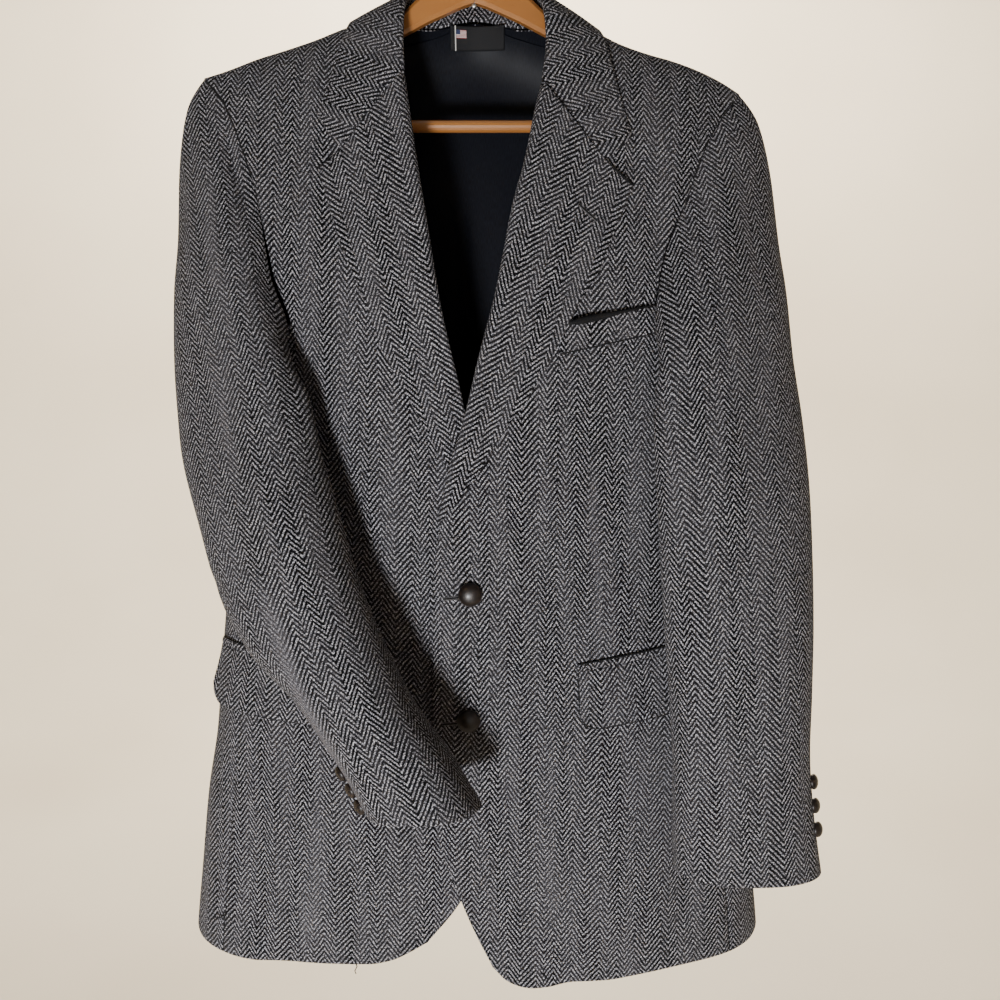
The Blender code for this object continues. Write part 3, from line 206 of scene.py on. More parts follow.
# A sleeve's hidden side against the torso: degrees round the torso, the first of them from its
# inner edge, shares of the way to its outer edge's height, how far off it lies, and how far out,
# back and down the point where it leaves lies
HUG_START, HUG_TURNS = 14, (62, 76, 90, 106)
HUG_LEVELS = (0.0, 0.02, 0.05, 0.12, 0.3)
HUG_LIFT = 6.0
HUG_LEAVE = (2.0, 7.0, -4.0)
# Degrees round a sleeve: where that side starts, over how many, and where it ends
HIDDEN_FROM, HIDDEN_OVER, HIDDEN_TO = 150, 40, 365
# How far a sleeve stays off the torso at the armhole, how much more below it, and over what
# share of the cap that grows
SLEEVE_CLEAR, CLEAR_MORE, CLEAR_OVER = 0.9, 4.1, 0.4
ARM_SOFT = 12.0  # the width over which the torso's cloth ends round an armhole
ARM_FOOT, FOOT_SOFT = -396.0, 10.0  # the height below which it doesn't, and how softly

COLLAR_LINES = 10  # from the gorge to the middle of the back

# Curves and numbers

def ease(t):
    """A share that starts and ends softly."""
    t = np.clip(t, 0, 1)
    return t * t * (3 - 2 * t)


def unit(v):
    v = np.asarray(v, float)
    return v / np.maximum(np.linalg.norm(v, axis=-1, keepdims=True), 1e-9)


def run_along(points, axis=0):
    """The distance along a line of points, or along each row or column of a surface."""
    steps = np.linalg.norm(np.diff(points, axis=axis), axis=-1)
    return np.concatenate([np.zeros_like(np.take(steps, [0], axis)), np.cumsum(steps, axis)], axis)


def bridge(f, start, leaving, end, arriving):
    """A smooth curve between two points, whose directions there are given, at shares f of it."""
    return ((1 + 2 * f) * (1 - f) ** 2 * start + f * (1 - f) ** 2 * leaving
            + f * f * (3 - 2 * f) * end + f * f * (f - 1) * arriving)


def smooth_at(t, ts, values):
    """A smooth curve through the values at ts, read at t."""
    t, ts, values = (np.asarray(each, float) for each in (t, ts, values))
    slopes = np.gradient(values, ts, axis=0)
    i = np.clip(np.searchsorted(ts, t) - 1, 0, len(ts) - 2)
    span = ts[i + 1] - ts[i]
    f = np.clip((t - ts[i]) / span, 0, 1)
    if values.ndim > 1:
        f, span = f[..., None], span[..., None]
    return bridge(f, values[i], span * slopes[i], values[i + 1], span * slopes[i + 1])


def along(points, shares):
    """Points at the given shares of a polyline's length."""
    points = np.asarray(points, float)
    run = run_along(points)
    return smooth_at(np.asarray(shares) * run[-1], run, points)


def streaks(x, z, table, reach=1.0, uneven=0.25):
    """The amount of a few long soft marks at x and z, as seen from in front."""
    total = np.zeros(np.broadcast(x, z).shape)
    for x0, z0, x1, z1, bow, width, amount in table:
        run_x, run_z = x1 - x0, z1 - z0
        length = math.hypot(run_x, run_z)
        share = ((x - x0) * run_x + (z - z0) * run_z) / length**2
        on_it = np.clip(share, 0, 1)
        off = ((x - x0) * run_z - (z - z0) * run_x) / length - bow * 4 * on_it * (1 - on_it)
        ends = ease(share / 0.3) * ease((reach - share) / 0.3)
        swell = 1 + uneven * np.sin(share * 7 + x0)
        total += amount * np.exp(-2 * (off / width) ** 2) * ends * swell
    return total


# The torso

def column_at(z, column):
    return smooth_at(z, TORSO[:, 0], TORSO[:, column])


def section(z, front):
    """Half the torso's width at a height, and its depth and squareness in front or behind."""
    depth = np.where(front, column_at(z, 2), column_at(z, 3))
    return column_at(z, 1), depth, np.where(front, column_at(z, 4), BACK_SQUARE)


def shoulder_z(x):
    return smooth_at(np.clip(x, TIP_X[RIGHT], TIP_X[LEFT]), SHOULDER[:, 0], SHOULDER[:, 1])


def rounded(down, front):
    """The share of its depth that the torso has reached so far below the shoulder line."""
    share = np.maximum(down, 0) / np.where(front, FRONT_ROUND, BACK_ROUND)
    return np.sqrt(1 - (1 - np.minimum(share, 1)) ** 2)


def torso(angle, z, lift=0.0):
    """The outer face of the jacket, moved out by a lift, at an angle round it: 0 is the middle of
    the front and the wearer's left is positive."""
    angle = np.asarray(angle, float)
    z = np.asarray(z, float)
    front = np.cos(angle) > 0
    half, depth, square = section(z, front)
    folds = streaks(half * np.sin(angle), z, FOLDS, FOLD_REACH, 0.0)
    folds = folds * ease((FOLD_TOP - z) / FOLD_FADE)
    lift = lift + np.where(front, folds, 0)
    x = (half + lift) * np.sin(angle)
    rise = rounded(shoulder_z(x) + np.maximum(lift, 0) - z, front)
    depth = depth * rise + lift * np.minimum(1, rise * 3)
    y = -depth * np.cos(angle) * (1 + square * np.sin(angle) ** 2)
    return np.stack([x, y, np.broadcast_to(z, x.shape)], axis=-1)


def angle_of(x, z, back=False):
    angle = np.arcsin(np.clip(np.asarray(x, float) / column_at(z, 1), -1, 1))
    return np.where(back, np.where(angle >= 0, np.pi, -np.pi) - angle, angle)


def on_front(x, z, lift=0.0):
    return torso(angle_of(x, z), z, lift)


def out_of(angle, z):
    """The outward direction of the torso there."""
    up, turn = 0.4, 0.002
    round_it = torso(angle + turn, z) - torso(angle - turn, z)
    return unit(np.cross(round_it, torso(angle, z + up) - torso(angle, z - up)))


# Where the rows of the fronts, sides and backs lie

RIGHT_UNDER = 5.7  # how far inwards the right front lies where the left one covers it
# The x and z where that starts, and over what distances it grows
UNDER_X, UNDER_ACROSS = -98, 55
UNDER_Z, UNDER_DOWN = -335, 85
# Where each roll is pressed flat: its inside radius there, the depth where that starts and its run
ROLL_PRESSED = {RIGHT: (0.4, 360, 65), LEFT: (0.5, 470, 55)}
# The points between the neck and the top of the roll: how far out and up from there
NECK_BEND = ((8, 40), (2.5, 22))
# The neck seam of a back: shares of NECK_X, and how far below the shoulder line it lies
BACK_NECK = ((1.0, 0.0), (0.92, 1.8), (0.8, 5.2), (0.65, 10.0), (0.45, 15.0), (0.22, 18.2),
             (0.0, 19.5))
HEM_ROWS = 7  # of a front, that bend to its hem
TURN_ROWS = 5  # of a front, up to the underarm, that turn to follow the shoulder line
SIDE_DIP = 12.0  # how far the armhole dips between the side panel's seams


def under_share(x, z):
    """How much of the right front lies under the left one."""
    return ease((x - UNDER_X) / UNDER_ACROSS) * ease((UNDER_Z - z) / UNDER_DOWN)


def roll_radius(side, z):
    """The inside radius of the roll, which is pressed flat towards its foot."""
    least, start, run = ROLL_PRESSED[side]
    return least + (ROLL_GAP - least) * (1 - ease((-np.asarray(z, float) - start) / run))


def front_inner_edge(side):
    """The inner edge of a front, from the shoulder down to its lowest corner: the neck, the line
    just inside the roll, then the free edge."""
    roll = [(x + side * (roll_radius(side, z) + CLOTH), z) for x, z in ROLL[side][1:]]
    neck = (NECK_X[side], float(shoulder_z(NECK_X[side])))
    between = [(roll[0][0] + side * over, roll[0][1] + up) for over, up in NECK_BEND]
    return np.array([neck] + between + roll + list(FRONT_EDGE[side]), float)


def panel_edge(side, back=False):
    """The outer edge of a front or a back, row by row from the hem, as x and z."""
    upper = along((ARMHOLE_BACK if back else ARMHOLE_FRONT)[side], TOP_SHARES)
    hem_z = BACK_HEM if back else HEM[side][-1][1]
    z = hem_z + (upper[0][1] - hem_z) * LOW_SHARES
    lower = np.stack([side * SIDE_SEAM * column_at(z, 1), z], axis=-1)
    return np.concatenate([lower, upper])


def front_grid(side):
    """x and z of a front's rows and columns, the rows from the hem up."""
    outer = panel_edge(side)
    edge = along(front_inner_edge(side), np.linspace(0, 1, 400))
    start = int(np.argmin(np.abs(edge[:, 1] - UNDERARM[side])))
    upper = edge[: start + 1]
    down = shoulder_z(upper[:, 0]) - upper[:, 1]
    x = np.interp(TOP_SHARES * down[-1], down, upper[:, 0])
    inner_top = np.stack([x, shoulder_z(x) - TOP_SHARES * down[-1]], axis=-1)
    inner = np.concatenate([along(edge[start:][::-1], LOW_SHARES), inner_top])
    u = np.linspace(0, 1, COLUMNS + 1)[None, :]
    grid = inner[:, None] * (1 - u[..., None]) + outer[:, None] * u[..., None]
    # The upper rows follow the shoulder line between their ends, and the lowest ones the hem.
    straight = shoulder_z(inner[:, 0])[:, None] * (1 - u) + shoulder_z(outer[:, 0])[:, None] * u
    row = np.arange(len(inner))[:, None]
    turned = ease((row - LOW_ROWS + TURN_ROWS - 1) / TURN_ROWS)
    grid[..., 1] += turned * (shoulder_z(grid[..., 0]) - straight)
    hem = along(HEM[side], u[0])
    return grid + np.clip(1 - row / HEM_ROWS, 0, 1)[..., None] ** 1.5 * (hem - grid[0])


def front_lift(side, x, z):
    """How far a front's outer face lies out of the torso's."""
    return -RIGHT_UNDER * under_share(x, z) if side == RIGHT else np.zeros(np.shape(x))


def back_grid(side):
    """x and z of a back's rows and columns, from the hem up and from the centre seam out. Its top
    row runs along the neck and then the shoulder."""
    outer = panel_edge(side, back=True)
    neck = back_neck(side)
    u = np.linspace(0, 1, COLUMNS + 1)
    arm_x, arm_z = outer[LOW_ROWS]
    centre_z = arm_z + BACK_RISE
    grid = np.zeros((len(outer), COLUMNS + 1, 2))
    for row, share in enumerate(LOW_SHARES):
        inner_z = BACK_HEM + (centre_z - BACK_HEM) * share
        grid[row, :, 0] = outer[row][0] * u
        grid[row, :, 1] = inner_z + (outer[row][1] - inner_z) * u
    neck_x = np.linspace(0, NECK_X[side], NECK_COLUMNS + 1)
    shoulder_x = np.linspace(NECK_X[side], outer[-1][0], COLUMNS + 1 - NECK_COLUMNS)
    top_x = np.concatenate([neck_x[:-1], shoulder_x])
    neck_down = (shoulder_z(neck[:, 0]) - neck[:, 1])[::-1]
    top_down = np.interp(np.abs(top_x), np.abs(neck[::-1, 0]), neck_down)
    base_x = arm_x * u
    base_down = shoulder_z(base_x) - (centre_z - BACK_RISE * u)
    for row, share in enumerate(TOP_SHARES, LOW_ROWS):
        x = base_x + (top_x - base_x) * (1 - share)
        x = x + (outer[row][0] - x[-1]) * u
        down = top_down + (base_down - top_down) * share
        edge_down = shoulder_z(outer[row][0]) - outer[row][1]
        down = down + (edge_down - down[-1]) * u**2
        grid[row] = np.stack([x, shoulder_z(x) - down], axis=-1)
    return grid


def back_neck(side):
    """The neck seam of a back from the shoulder to the middle, as x and z."""
    share, down = np.array(BACK_NECK).T
    x = NECK_X[side] * share
    return np.stack([x, shoulder_z(x) - down], axis=-1)


def side_grid(side):
    """Angle and z of a side panel, the columns from the front seam to the back one."""
    front = panel_edge(side)[: LOW_ROWS + 1].T
    back = panel_edge(side, back=True)[: LOW_ROWS + 1].T
    u = np.linspace(0, 1, SIDE_COLUMNS + 1)
    angle = angle_of(*front)[:, None] * (1 - u) + angle_of(*back, back=True)[:, None] * u
    z = front[1][:, None] * (1 - u) + back[1][:, None] * u
    share = np.linspace(0, 1, LOW_ROWS + 1)[:, None]
    hem = np.interp(u, *np.array(SIDE_HEM).T)
    z = z + (1 - share) ** 3 * (hem - z[0])
    return angle, z - share**6 * SIDE_DIP * np.sin(np.pi * u)


# The armhole, and the sleeve that leaves it

def armhole(side):
    """The loop of the armhole from the tip of the shoulder down the front, under the arm and up
    the back, with its degrees round the sleeve and the way that the sleeve leaves it."""
    front = front_grid(side)[LOW_ROWS:, -1][::-1]
    back = back_grid(side)[LOW_ROWS:, -1]
    under, z = (each[-1][1:-1] for each in side_grid(side))
    angles = np.concatenate([angle_of(*front.T), under, angle_of(*back.T, back=True)])
    loop = torso(angles, np.concatenate([front[:, 1], z, back[:, 1]]))
    run = run_along(loop)
    corners = run[[0, TOP_ROWS, TOP_ROWS + SIDE_COLUMNS, -1]]
    theta = np.interp(run, corners, (0, FRONT_CORNER, BACK_CORNER, 360))
    leave = smooth_at(theta / 45, np.arange(9), np.concatenate([LEAVES, LEAVES[:1]]))
    return loop, theta, unit(leave * (side, -1, -1))


def clear_torso(points, lift, has_cloth):
    """Moves points that come closer to the torso than a lift out of it, where it has cloth."""
    front = points[..., 1] < 0
    half, depth, square = section(points[..., 2], front)
    half = half + lift
    sine = np.clip(np.abs(points[..., 0]) / half, 0, 1)
    rise = rounded(shoulder_z(points[..., 0]) + lift - points[..., 2], front)
    depth = np.maximum((depth + lift) * (1 + square * sine**2) * rise, 1)
    moved = points.copy()
    for _ in range(4):
        inside = np.sqrt((moved[..., 0] / half) ** 2 + (moved[..., 1] / depth) ** 2)
        slope = np.stack([moved[..., 0] / half**2, moved[..., 1] / depth**2], axis=-1)
        slope /= np.maximum(inside, 1e-3)[..., None]
        steep = np.maximum(np.linalg.norm(slope, axis=-1), 1e-6)
        step = np.minimum(np.maximum(1 - inside, 0) * has_cloth / steep, 25)
        moved[..., :2] += slope * (step / steep)[..., None]
    return moved


def keep_outside(points, side, lift):
    """Moves points of a sleeve out of the torso, which has no cloth inside its armhole."""
    x, y, z = np.moveaxis(points, -1, 0)
    lines = [np.array(table[side], float) for table in (ARMHOLE_FRONT, ARMHOLE_BACK)]
    arm = np.where(y < 0, *[np.interp(-z, -line[:, 1], np.abs(line[:, 0])) for line in lines])
    has_cloth = np.maximum(ease((arm + ARM_SOFT / 2 - np.abs(x)) / ARM_SOFT),
                           ease((ARM_FOOT - z) / FOOT_SOFT))
    return clear_torso(points, lift, has_cloth)


def hugging(side, row, degrees):
    """Points of a ring where the sleeve lies against the side of the torso and leaves it again
    behind, for angles of the ring from 180 to 360 degrees."""
    inner, outer = row[0:3], row[3:6]
    start = abs(float(np.degrees(angle_of(inner[0], inner[2]))))
    turns = np.radians(np.array((start + HUG_START, *HUG_TURNS))) * side
    level = inner[2] + (outer[2] - inner[2]) * np.array(HUG_LEVELS)
    against = torso(turns, level, HUG_LIFT)
    leaving = (against[-1] + outer) / 2 + np.array(HUG_LEAVE) * (side, 1, 1)
    line = np.concatenate([inner[None], against, leaving[None], outer[None]])
    return along(line, np.clip((degrees - 180) / 180, 0, 1))


def tube_at(side, stations, degrees):
    """Points of a sleeve below its cap, at stations down its table and degrees round it."""
    table = SLEEVE[side]
    number = np.arange(len(table))
    step = 0.05
    lower, upper = (smooth_at(np.clip(stations + by, 0, number[-1]), number,
                              (table[:, 0:3] + table[:, 3:6]) / 2) for by in (step, -step))
    rows = smooth_at(stations, number, table)
    centre = (rows[:, 0:3] + rows[:, 3:6]) / 2
    half = (rows[:, 3:6] - rows[:, 0:3]) / 2
    depth = unit(np.cross(half, unit(lower - upper)))
    depth *= -np.sign(depth[:, 1:2])
    turn = np.radians(degrees)
    cosine = np.sign(np.cos(turn)) * np.abs(np.cos(turn)) ** SLEEVE_SQUARE
    thick = np.where(np.sin(turn) > 0, rows[:, 6:7], rows[:, 7:8]) * np.sin(turn)
    tube = centre[:, None] + half[:, None] * cosine[..., None] + depth[:, None] * thick[..., None]
    for ring, row, at in zip(tube, rows, degrees):
        if row[9] > 0.01:
            behind = ease((at - HIDDEN_FROM) / HIDDEN_OVER) * ease(HIDDEN_TO - at) * row[9]
            ring += (hugging(side, row, at) - ring) * behind[:, None]
    return tube


def sleeve_rings(side):
    """The outer face of a sleeve: one row of points for each ring, from the armhole down."""
    start, theta, leave = (each[:-1] for each in armhole(side))
    number = np.arange(len(SLEEVE[side]))
    stations = np.linspace(0, number[-1], TUBE_RINGS[side])
    turn = smooth_at(stations, number, SLEEVE[side][:, 8])
    lead = FORE_LEAD * np.exp(-(((theta - FORE_AT) / FORE_SPREAD) ** 2))
    lead = lead * np.exp(-stations / FORE_RINGS)[:, None]
    tube = tube_at(side, stations, theta[None] + turn[:, None] + lead)
    reach = np.linalg.norm(tube[0] - start, axis=-1, keepdims=True)
    begin = leave * np.minimum(reach * 1.1, CAP_PULL)
    finish = unit(tube[1] - tube[0]) * np.minimum(reach * 0.9, CAP_PULL)
    shares = np.linspace(0, 1, CAP_RINGS + 1)[:-1]
    cap = bridge(shares[:, None, None], start, begin, tube[0], finish)
    rings = np.concatenate([cap, tube])
    clear = np.concatenate([shares, np.ones(len(tube))])
    lift = SLEEVE_CLEAR + CLEAR_MORE * ease(clear / CLEAR_OVER)[:, None]
    moved = keep_outside(rings, side, lift)
    moved[0] = rings[0]
    return moved


# The lapels and the collar

ROLL_TURNS = 4
ACROSS = (0.25, 0.5, 0.76, 0.9, 1.0)  # the lines along a lapel, as shares of its width
GORGE_LINE = 2  # which of them ends at the corner of the notch
EDGE_CLEAR = 0.9  # how far a lapel's outer edge stands off the front
OVER_WELT, WELT_Z, WELT_REACH = 2.6, -380.0, 24.0  # how much more over the welt, and where


def edge_clear(side, z):
    """How far a lapel's outer edge stands off the front: more where the welt goes under it."""
    return EDGE_CLEAR + OVER_WELT * np.exp(-(((z - WELT_Z) / WELT_REACH) ** 2)) * (side == LEFT)


def gorge_points(side, start, tip):
    """The points of a lapel's top edge at the shares ACROSS: to the notch, then out to its tip."""
    corner = np.array(NOTCH[side], float)
    split = ACROSS[GORGE_LINE]
    return np.array([start + (corner - start) * s / split if s <= split
                     else corner + (tip - corner) * (s - split) / (1 - split) for s in ACROSS])


def lapel_grid(side):
    """The shown face of a lapel, row by row from the gorge down and from the roll out."""
    shares = np.linspace(0, 1, LAPEL_LINES + 1)
    roll, edge = along(ROLL[side][1:], shares), along(LAPEL_EDGE[side], shares)
    radius = roll_radius(side, roll[:, 1])[:, None]
    reach = radius + CLOTH
    start = roll + reach * (side, 0)
    # Half a turn round the roll's inside
    turn = np.linspace(0, np.pi, ROLL_TURNS + 1)
    way = side * unit(np.gradient(roll, axis=0))[:, ::-1] * (-1, 1)
    at = start[:, None] - way[:, None] * (reach * np.sin(turn))[..., None]
    base = front_lift(side, *start.T)[:, None] + radius
    rolled = on_front(at[..., 0], at[..., 1], base - reach * np.cos(turn))
    # Then out to the edge, the top rows bent to meet the notch
    share = np.array(ACROSS)
    at = start[:, None] + (edge - start)[:, None] * share[:, None]
    bend = np.clip(1 - np.arange(len(shares)) / 4, 0, 1)[:, None, None] ** 2
    x, z = np.moveaxis(at + (gorge_points(side, start[0], edge[0]) - at[0]) * bend, -1, 0)
    near = (1 - share) ** 1.5
    clear = np.maximum(2 * radius * near + edge_clear(side, z) * (1 - near), 0.8)
    return np.concatenate([rolled, on_front(x, z, front_lift(side, x, z) + clear + CLOTH)], axis=1)


COLLAR_RADIUS = 2.8
STAND_TURNS = 2
FALL_TURNS = 4
FALL_CROWN = 1.6  # how much the fall bulges
# Where the collar's seam lies further in than the neck's edge, and further up, point by point
SEAM_IN = (1, 1, 0.9, 0.5, 0.3, 0.2, 0.1, 0.1, 0, 0)
SEAM_UP = (0, 0.3, 0.5, 0.9, 1, 1, 1, 1, 1, 1)
SEAM_APART = (0.8, 1.1, 1.3, 1.3, 1.3, 1.3, 1.3, 1.3, 1.3, 1.3)
# The fold from the top of the roll to the middle of the back, on the left side
COLLAR_FOLD = ((57, -18, -108), (52, 4, -93), (40, 25, -85), (20, 40, -80.5), (0, 44, -80))
# The outer edge up the front, where it crosses the shoulder, and over the back
COLLAR_FRONT = {RIGHT: ((-117, -180), (-110, -150), (-104, -130)),
                LEFT: ((119, -192), (112, -160), (107, -138))}
COLLAR_OVER = {RIGHT: (-101, -1, -117.5), LEFT: (102, -1, -123.5)}
COLLAR_BACK = ((94, -126.5), (80, -129), (58, -130), (30, -126), (0, -122))
# How far its outer edge stands off at the tip, up the front and over the back, and how far the
# fold does at the top of the roll
TIP_CLEAR, FRONT_CLEAR, BACK_CLEAR, FOLD_CLEAR = 2.6, 3.0, 3.4, 4.5


def collar_lines(side):
    """The neck seam, the fold and the outer edge of the collar over one shoulder, as points from
    the gorge to the middle of the back."""
    seam = [on_front(x, z, -CLOTH / 2) for x, z in front_inner_edge(side)[3::-1]]
    seam[-1] = seam[-1] * (1, 0, 1) + (0, 0, 0.6)
    seam += [torso(angle_of(x + side * NUDGE, z, back=True), z, -CLOTH / 2)
             for x, z in back_neck(side)[1:]]
    away = np.stack([-side * np.array(SEAM_IN), np.zeros(len(SEAM_IN)), SEAM_UP], axis=-1)
    seam = np.array(seam) + unit(away) * np.array(SEAM_APART)[:, None]
    top, gorge = ROLL[side][:2]
    fold = np.array([on_front(gorge[0] + side, gorge[1], ROLL_GAP),
                     on_front(top[0] + side, top[1], FOLD_CLEAR),
                     *(np.array(COLLAR_FOLD) * (side, 1, 1))])
    edge = [on_front(*COLLAR_TIP[side], TIP_CLEAR)]
    edge += [on_front(x, z, FRONT_CLEAR) for x, z in COLLAR_FRONT[side]] + [COLLAR_OVER[side]]
    edge += [torso(angle_of(side * (x + NUDGE), z, back=True), z, BACK_CLEAR)
             for x, z in COLLAR_BACK]
    return seam, fold, np.array(edge)


def collar_rows(side):
    """The middle surface of half the collar: the stand, the fold and the fall, from the gorge to
    the middle of the back."""
    shares = np.linspace(0, 1, COLLAR_LINES + 1)
    seam, fold, edge = (along(line, shares) for line in collar_lines(side))
    up = unit(fold - (seam + edge) / 2)
    up[0] = (-side, 0, 0)
    span = edge - seam
    out = unit(span - np.sum(span * up, axis=-1, keepdims=True) * up)
    middle = fold - up * COLLAR_RADIUS
    first, last = middle - out * COLLAR_RADIUS, middle + out * COLLAR_RADIUS
    crown = out * FALL_CROWN * np.minimum(np.arange(len(shares)) / 3, 1)[:, None]
    rows = np.stack(
        [seam + (first - seam) * k / STAND_TURNS for k in range(STAND_TURNS)]
        + [middle + COLLAR_RADIUS * (up * math.sin(turn) - out * math.cos(turn))
           for turn in np.linspace(0, np.pi, ROLL_TURNS, endpoint=False)]
        + [last + (edge - last) * s + crown * math.sin(math.pi * s)
           for s in np.linspace(0, 1, FALL_TURNS + 1)], axis=1)
    # The first rows bend to the corner of the notch, and the fall is kept off the back.
    fall = rows[:, STAND_TURNS + ROLL_TURNS:]
    bent = fall[0].copy()
    notch_shade = on_front(*NOTCH[side], 2.4)
    for k in range(1, FALL_TURNS):
        bent[k] = bent[0] + (notch_shade - bent[0]) * k / (FALL_TURNS - 1)
    fall[:3] += (bent - fall[0]) * (1 - np.arange(3) / 3)[:, None, None] ** 2
    fall[:] = clear_torso(fall, 2.3, ease((shoulder_z(fall[..., 0]) - fall[..., 2] - 2) / 8))
    return rows


# The pockets

FLAP_WIDTH = 155.0
FLAP_HEIGHT = 52.0
FLAP_START = 88.0
FLAP_CORNER = 18.0
FLAP_TOP = -661.0
FLAP_LEVEL = -690.0  # the height at which distances along it are measured
FLAP_SLOPE = {RIGHT: 0.06, LEFT: 0.14}
FLAP_BULGE = {RIGHT: 4.5, LEFT: 1.5}  # how far its hind lower corner stands off
JET_HEIGHT = 5.5
JET_CLOTH = 1.6
POCKET_CLEAR = 0.9


def flap_place(side, along_it):
    """The angle round the torso at a distance along the hip pocket from its front end."""
    first = float(angle_of(side * FLAP_START, FLAP_LEVEL))
    turns = np.linspace(first, side * math.radians(115), 240)
    return np.interp(along_it, run_along(torso(turns, FLAP_LEVEL)), turns)


def flap_top(side, along_it):
    return FLAP_TOP + FLAP_SLOPE[side] * along_it


def pocket_face(side, run, z, lift):
    """A face that lies along a hip pocket, so far off the front, with its run and heights."""
    angle = np.broadcast_to(flap_place(side, run), z.shape)
    lift = lift + POCKET_CLEAR + front_lift(side, column_at(z, 1) * np.sin(angle), z)
    return torso(angle, z, lift), np.broadcast_to(run, z.shape), z


def flap_grid(side):
    """The outer face of a hip pocket's flap, from its top down and from its front end back."""
    run = FLAP_WIDTH * np.concatenate([(0, 0.01, 0.03, 0.06, 0.09), np.linspace(0.12, 0.88, 24),
                                       (0.91, 0.94, 0.97, 0.99, 1)])
    down = np.linspace(0, 1, 14)[:, None]
    near = np.minimum(run, FLAP_WIDTH - run)
    cut = FLAP_CORNER - np.sqrt(FLAP_CORNER**2 - np.maximum(FLAP_CORNER - near, 0) ** 2)
    z = flap_top(side, run) - down * (FLAP_HEIGHT - cut)
    bulge = FLAP_BULGE[side] * (run / FLAP_WIDTH) ** 4 * down**1.5
    return pocket_face(side, run, z, bulge + 0.5 * down + CLOTH)


def jet_grid(side):
    """The outer face of the narrow jet over a hip pocket's flap."""
    run = np.linspace(0, FLAP_WIDTH, 32)
    up = np.linspace(JET_HEIGHT, 0, 5)[:, None]
    crown = 0.5 * np.sin(np.pi * up / JET_HEIGHT)
    return pocket_face(side, run, flap_top(side, run) + up + 0.5, crown + JET_CLOTH)


WELT = ((70, -373), (148, -356))  # the two ends of its top edge
WELT_HEIGHT = 21.0
WELT_CLOTH = 1.7
WELT_GAPE, GAPE_FROM = 1.8, 0.25  # how far its mouth stands off, and from what share of it on
# How far the front end of its mouth hangs open, the x where that ends and over what width
MOUTH_OPEN, MOUTH_END, MOUTH_RUN = 2.2, 112, 36


def welt_top(x):
    (x0, z0), (x1, z1) = WELT
    return z0 + (x - x0) * (z1 - z0) / (x1 - x0)


def welt_grid():
    """The outer face of the breast pocket's welt, whose mouth gapes a little."""
    u = np.linspace(0, 1, 24)
    down = np.linspace(0, 1, 8)[:, None]
    x = WELT[0][0] + (WELT[1][0] - WELT[0][0]) * u + 0 * down
    z = welt_top(x) - WELT_HEIGHT * down
    share = np.clip((u - GAPE_FROM) / (1 - GAPE_FROM), 0, 1)
    gape = WELT_GAPE * np.sin(np.pi * share) * (1 - down) ** 1.5
    return on_front(x, z, 0.7 + gape + WELT_CLOTH), x, z


# The lining and the label

LINING_HALF = 165.0
LINING_HEM = -890.0
LINING_TOP = ((0, 30, 48, 60, 74), (23, 22, 20, 18, 17))  # how far below the neck seam, across
LINING_CLEAR = 1.1  # between it and the back
NECK_MORE, NECK_FROM, NECK_RUN = 0.8, -330, 100  # how much more towards the neck, and where
LABEL_SIZE = (48.0, 18.0)
LABEL_CLOTH = 0.8
LABEL_TOP = -113.5
LABEL_X = 2.0
LABEL_DEEP = 4.0  # how far inside the back's inner face its hidden face lies


def behind(x, z):
    """The angle of a point on the back, counted on past half a turn on both sides."""
    angle = angle_of(x, z, back=True)
    return np.where(angle < 0, angle + 2 * np.pi, angle)


def lining_grid():
    u = np.linspace(-1, 1, 97)[None, :]
    x = LINING_HALF * np.sign(u) * np.abs(u) ** 1.3
    top = shoulder_z(x) - np.interp(np.abs(x), *LINING_TOP)
    share = np.linspace(1, 0, 97)[:, None] ** 1.8
    z = top + (LINING_HEM - top) * share
    x = x + np.zeros_like(z)
    lift = -CLOTH - LINING_CLEAR - NECK_MORE * ease((z - NECK_FROM) / NECK_RUN)
    return torso(behind(x, z), z, lift), x, z


def label_grid():
    width, height = LABEL_SIZE
    x, z = np.meshgrid(np.linspace(-width / 2, width / 2, 25) + LABEL_X,
                       LABEL_TOP - height * np.linspace(0, 1, 10))
    return torso(behind(x, z), z, -CLOTH - LABEL_DEEP), x - LABEL_X, z - LABEL_TOP + height


# Fine surfaces

def finer(grid, rows, columns, closed=False):
    """The same surface with that many steps for each of its own, through all its points. A closed
    one goes round its columns and meets itself."""
    for axis, steps in ((0, rows), (1, columns)):
        values = np.moveaxis(np.asarray(grid, float), axis, 0)
        count = len(values)
        if closed and axis == 1:
            at = 3 + np.arange(count * steps + 1) / steps
            values = np.concatenate([values[-3:], values, values[:4]])
        else:
            at = np.arange((count - 1) * steps + 1) / steps
        flat = values.reshape(len(values), -1)
        flat = smooth_at(at, np.arange(len(flat)), flat)
        grid = np.moveaxis(flat.reshape((len(at),) + values.shape[1:]), 0, axis)
    return grid


def out_from(grid, towards, closed=False):
    """The direction square to a surface at each of its points, on the side that faces towards."""
    if closed:
        grid = np.concatenate([grid[:, -3:-1], grid, grid[:, 1:3]], axis=1)
    out = unit(np.cross(np.gradient(grid, axis=1), np.gradient(grid, axis=0)))
    out = out[:, 2:-2] if closed else out
    return out if np.sum(out * towards) > 0 else -out


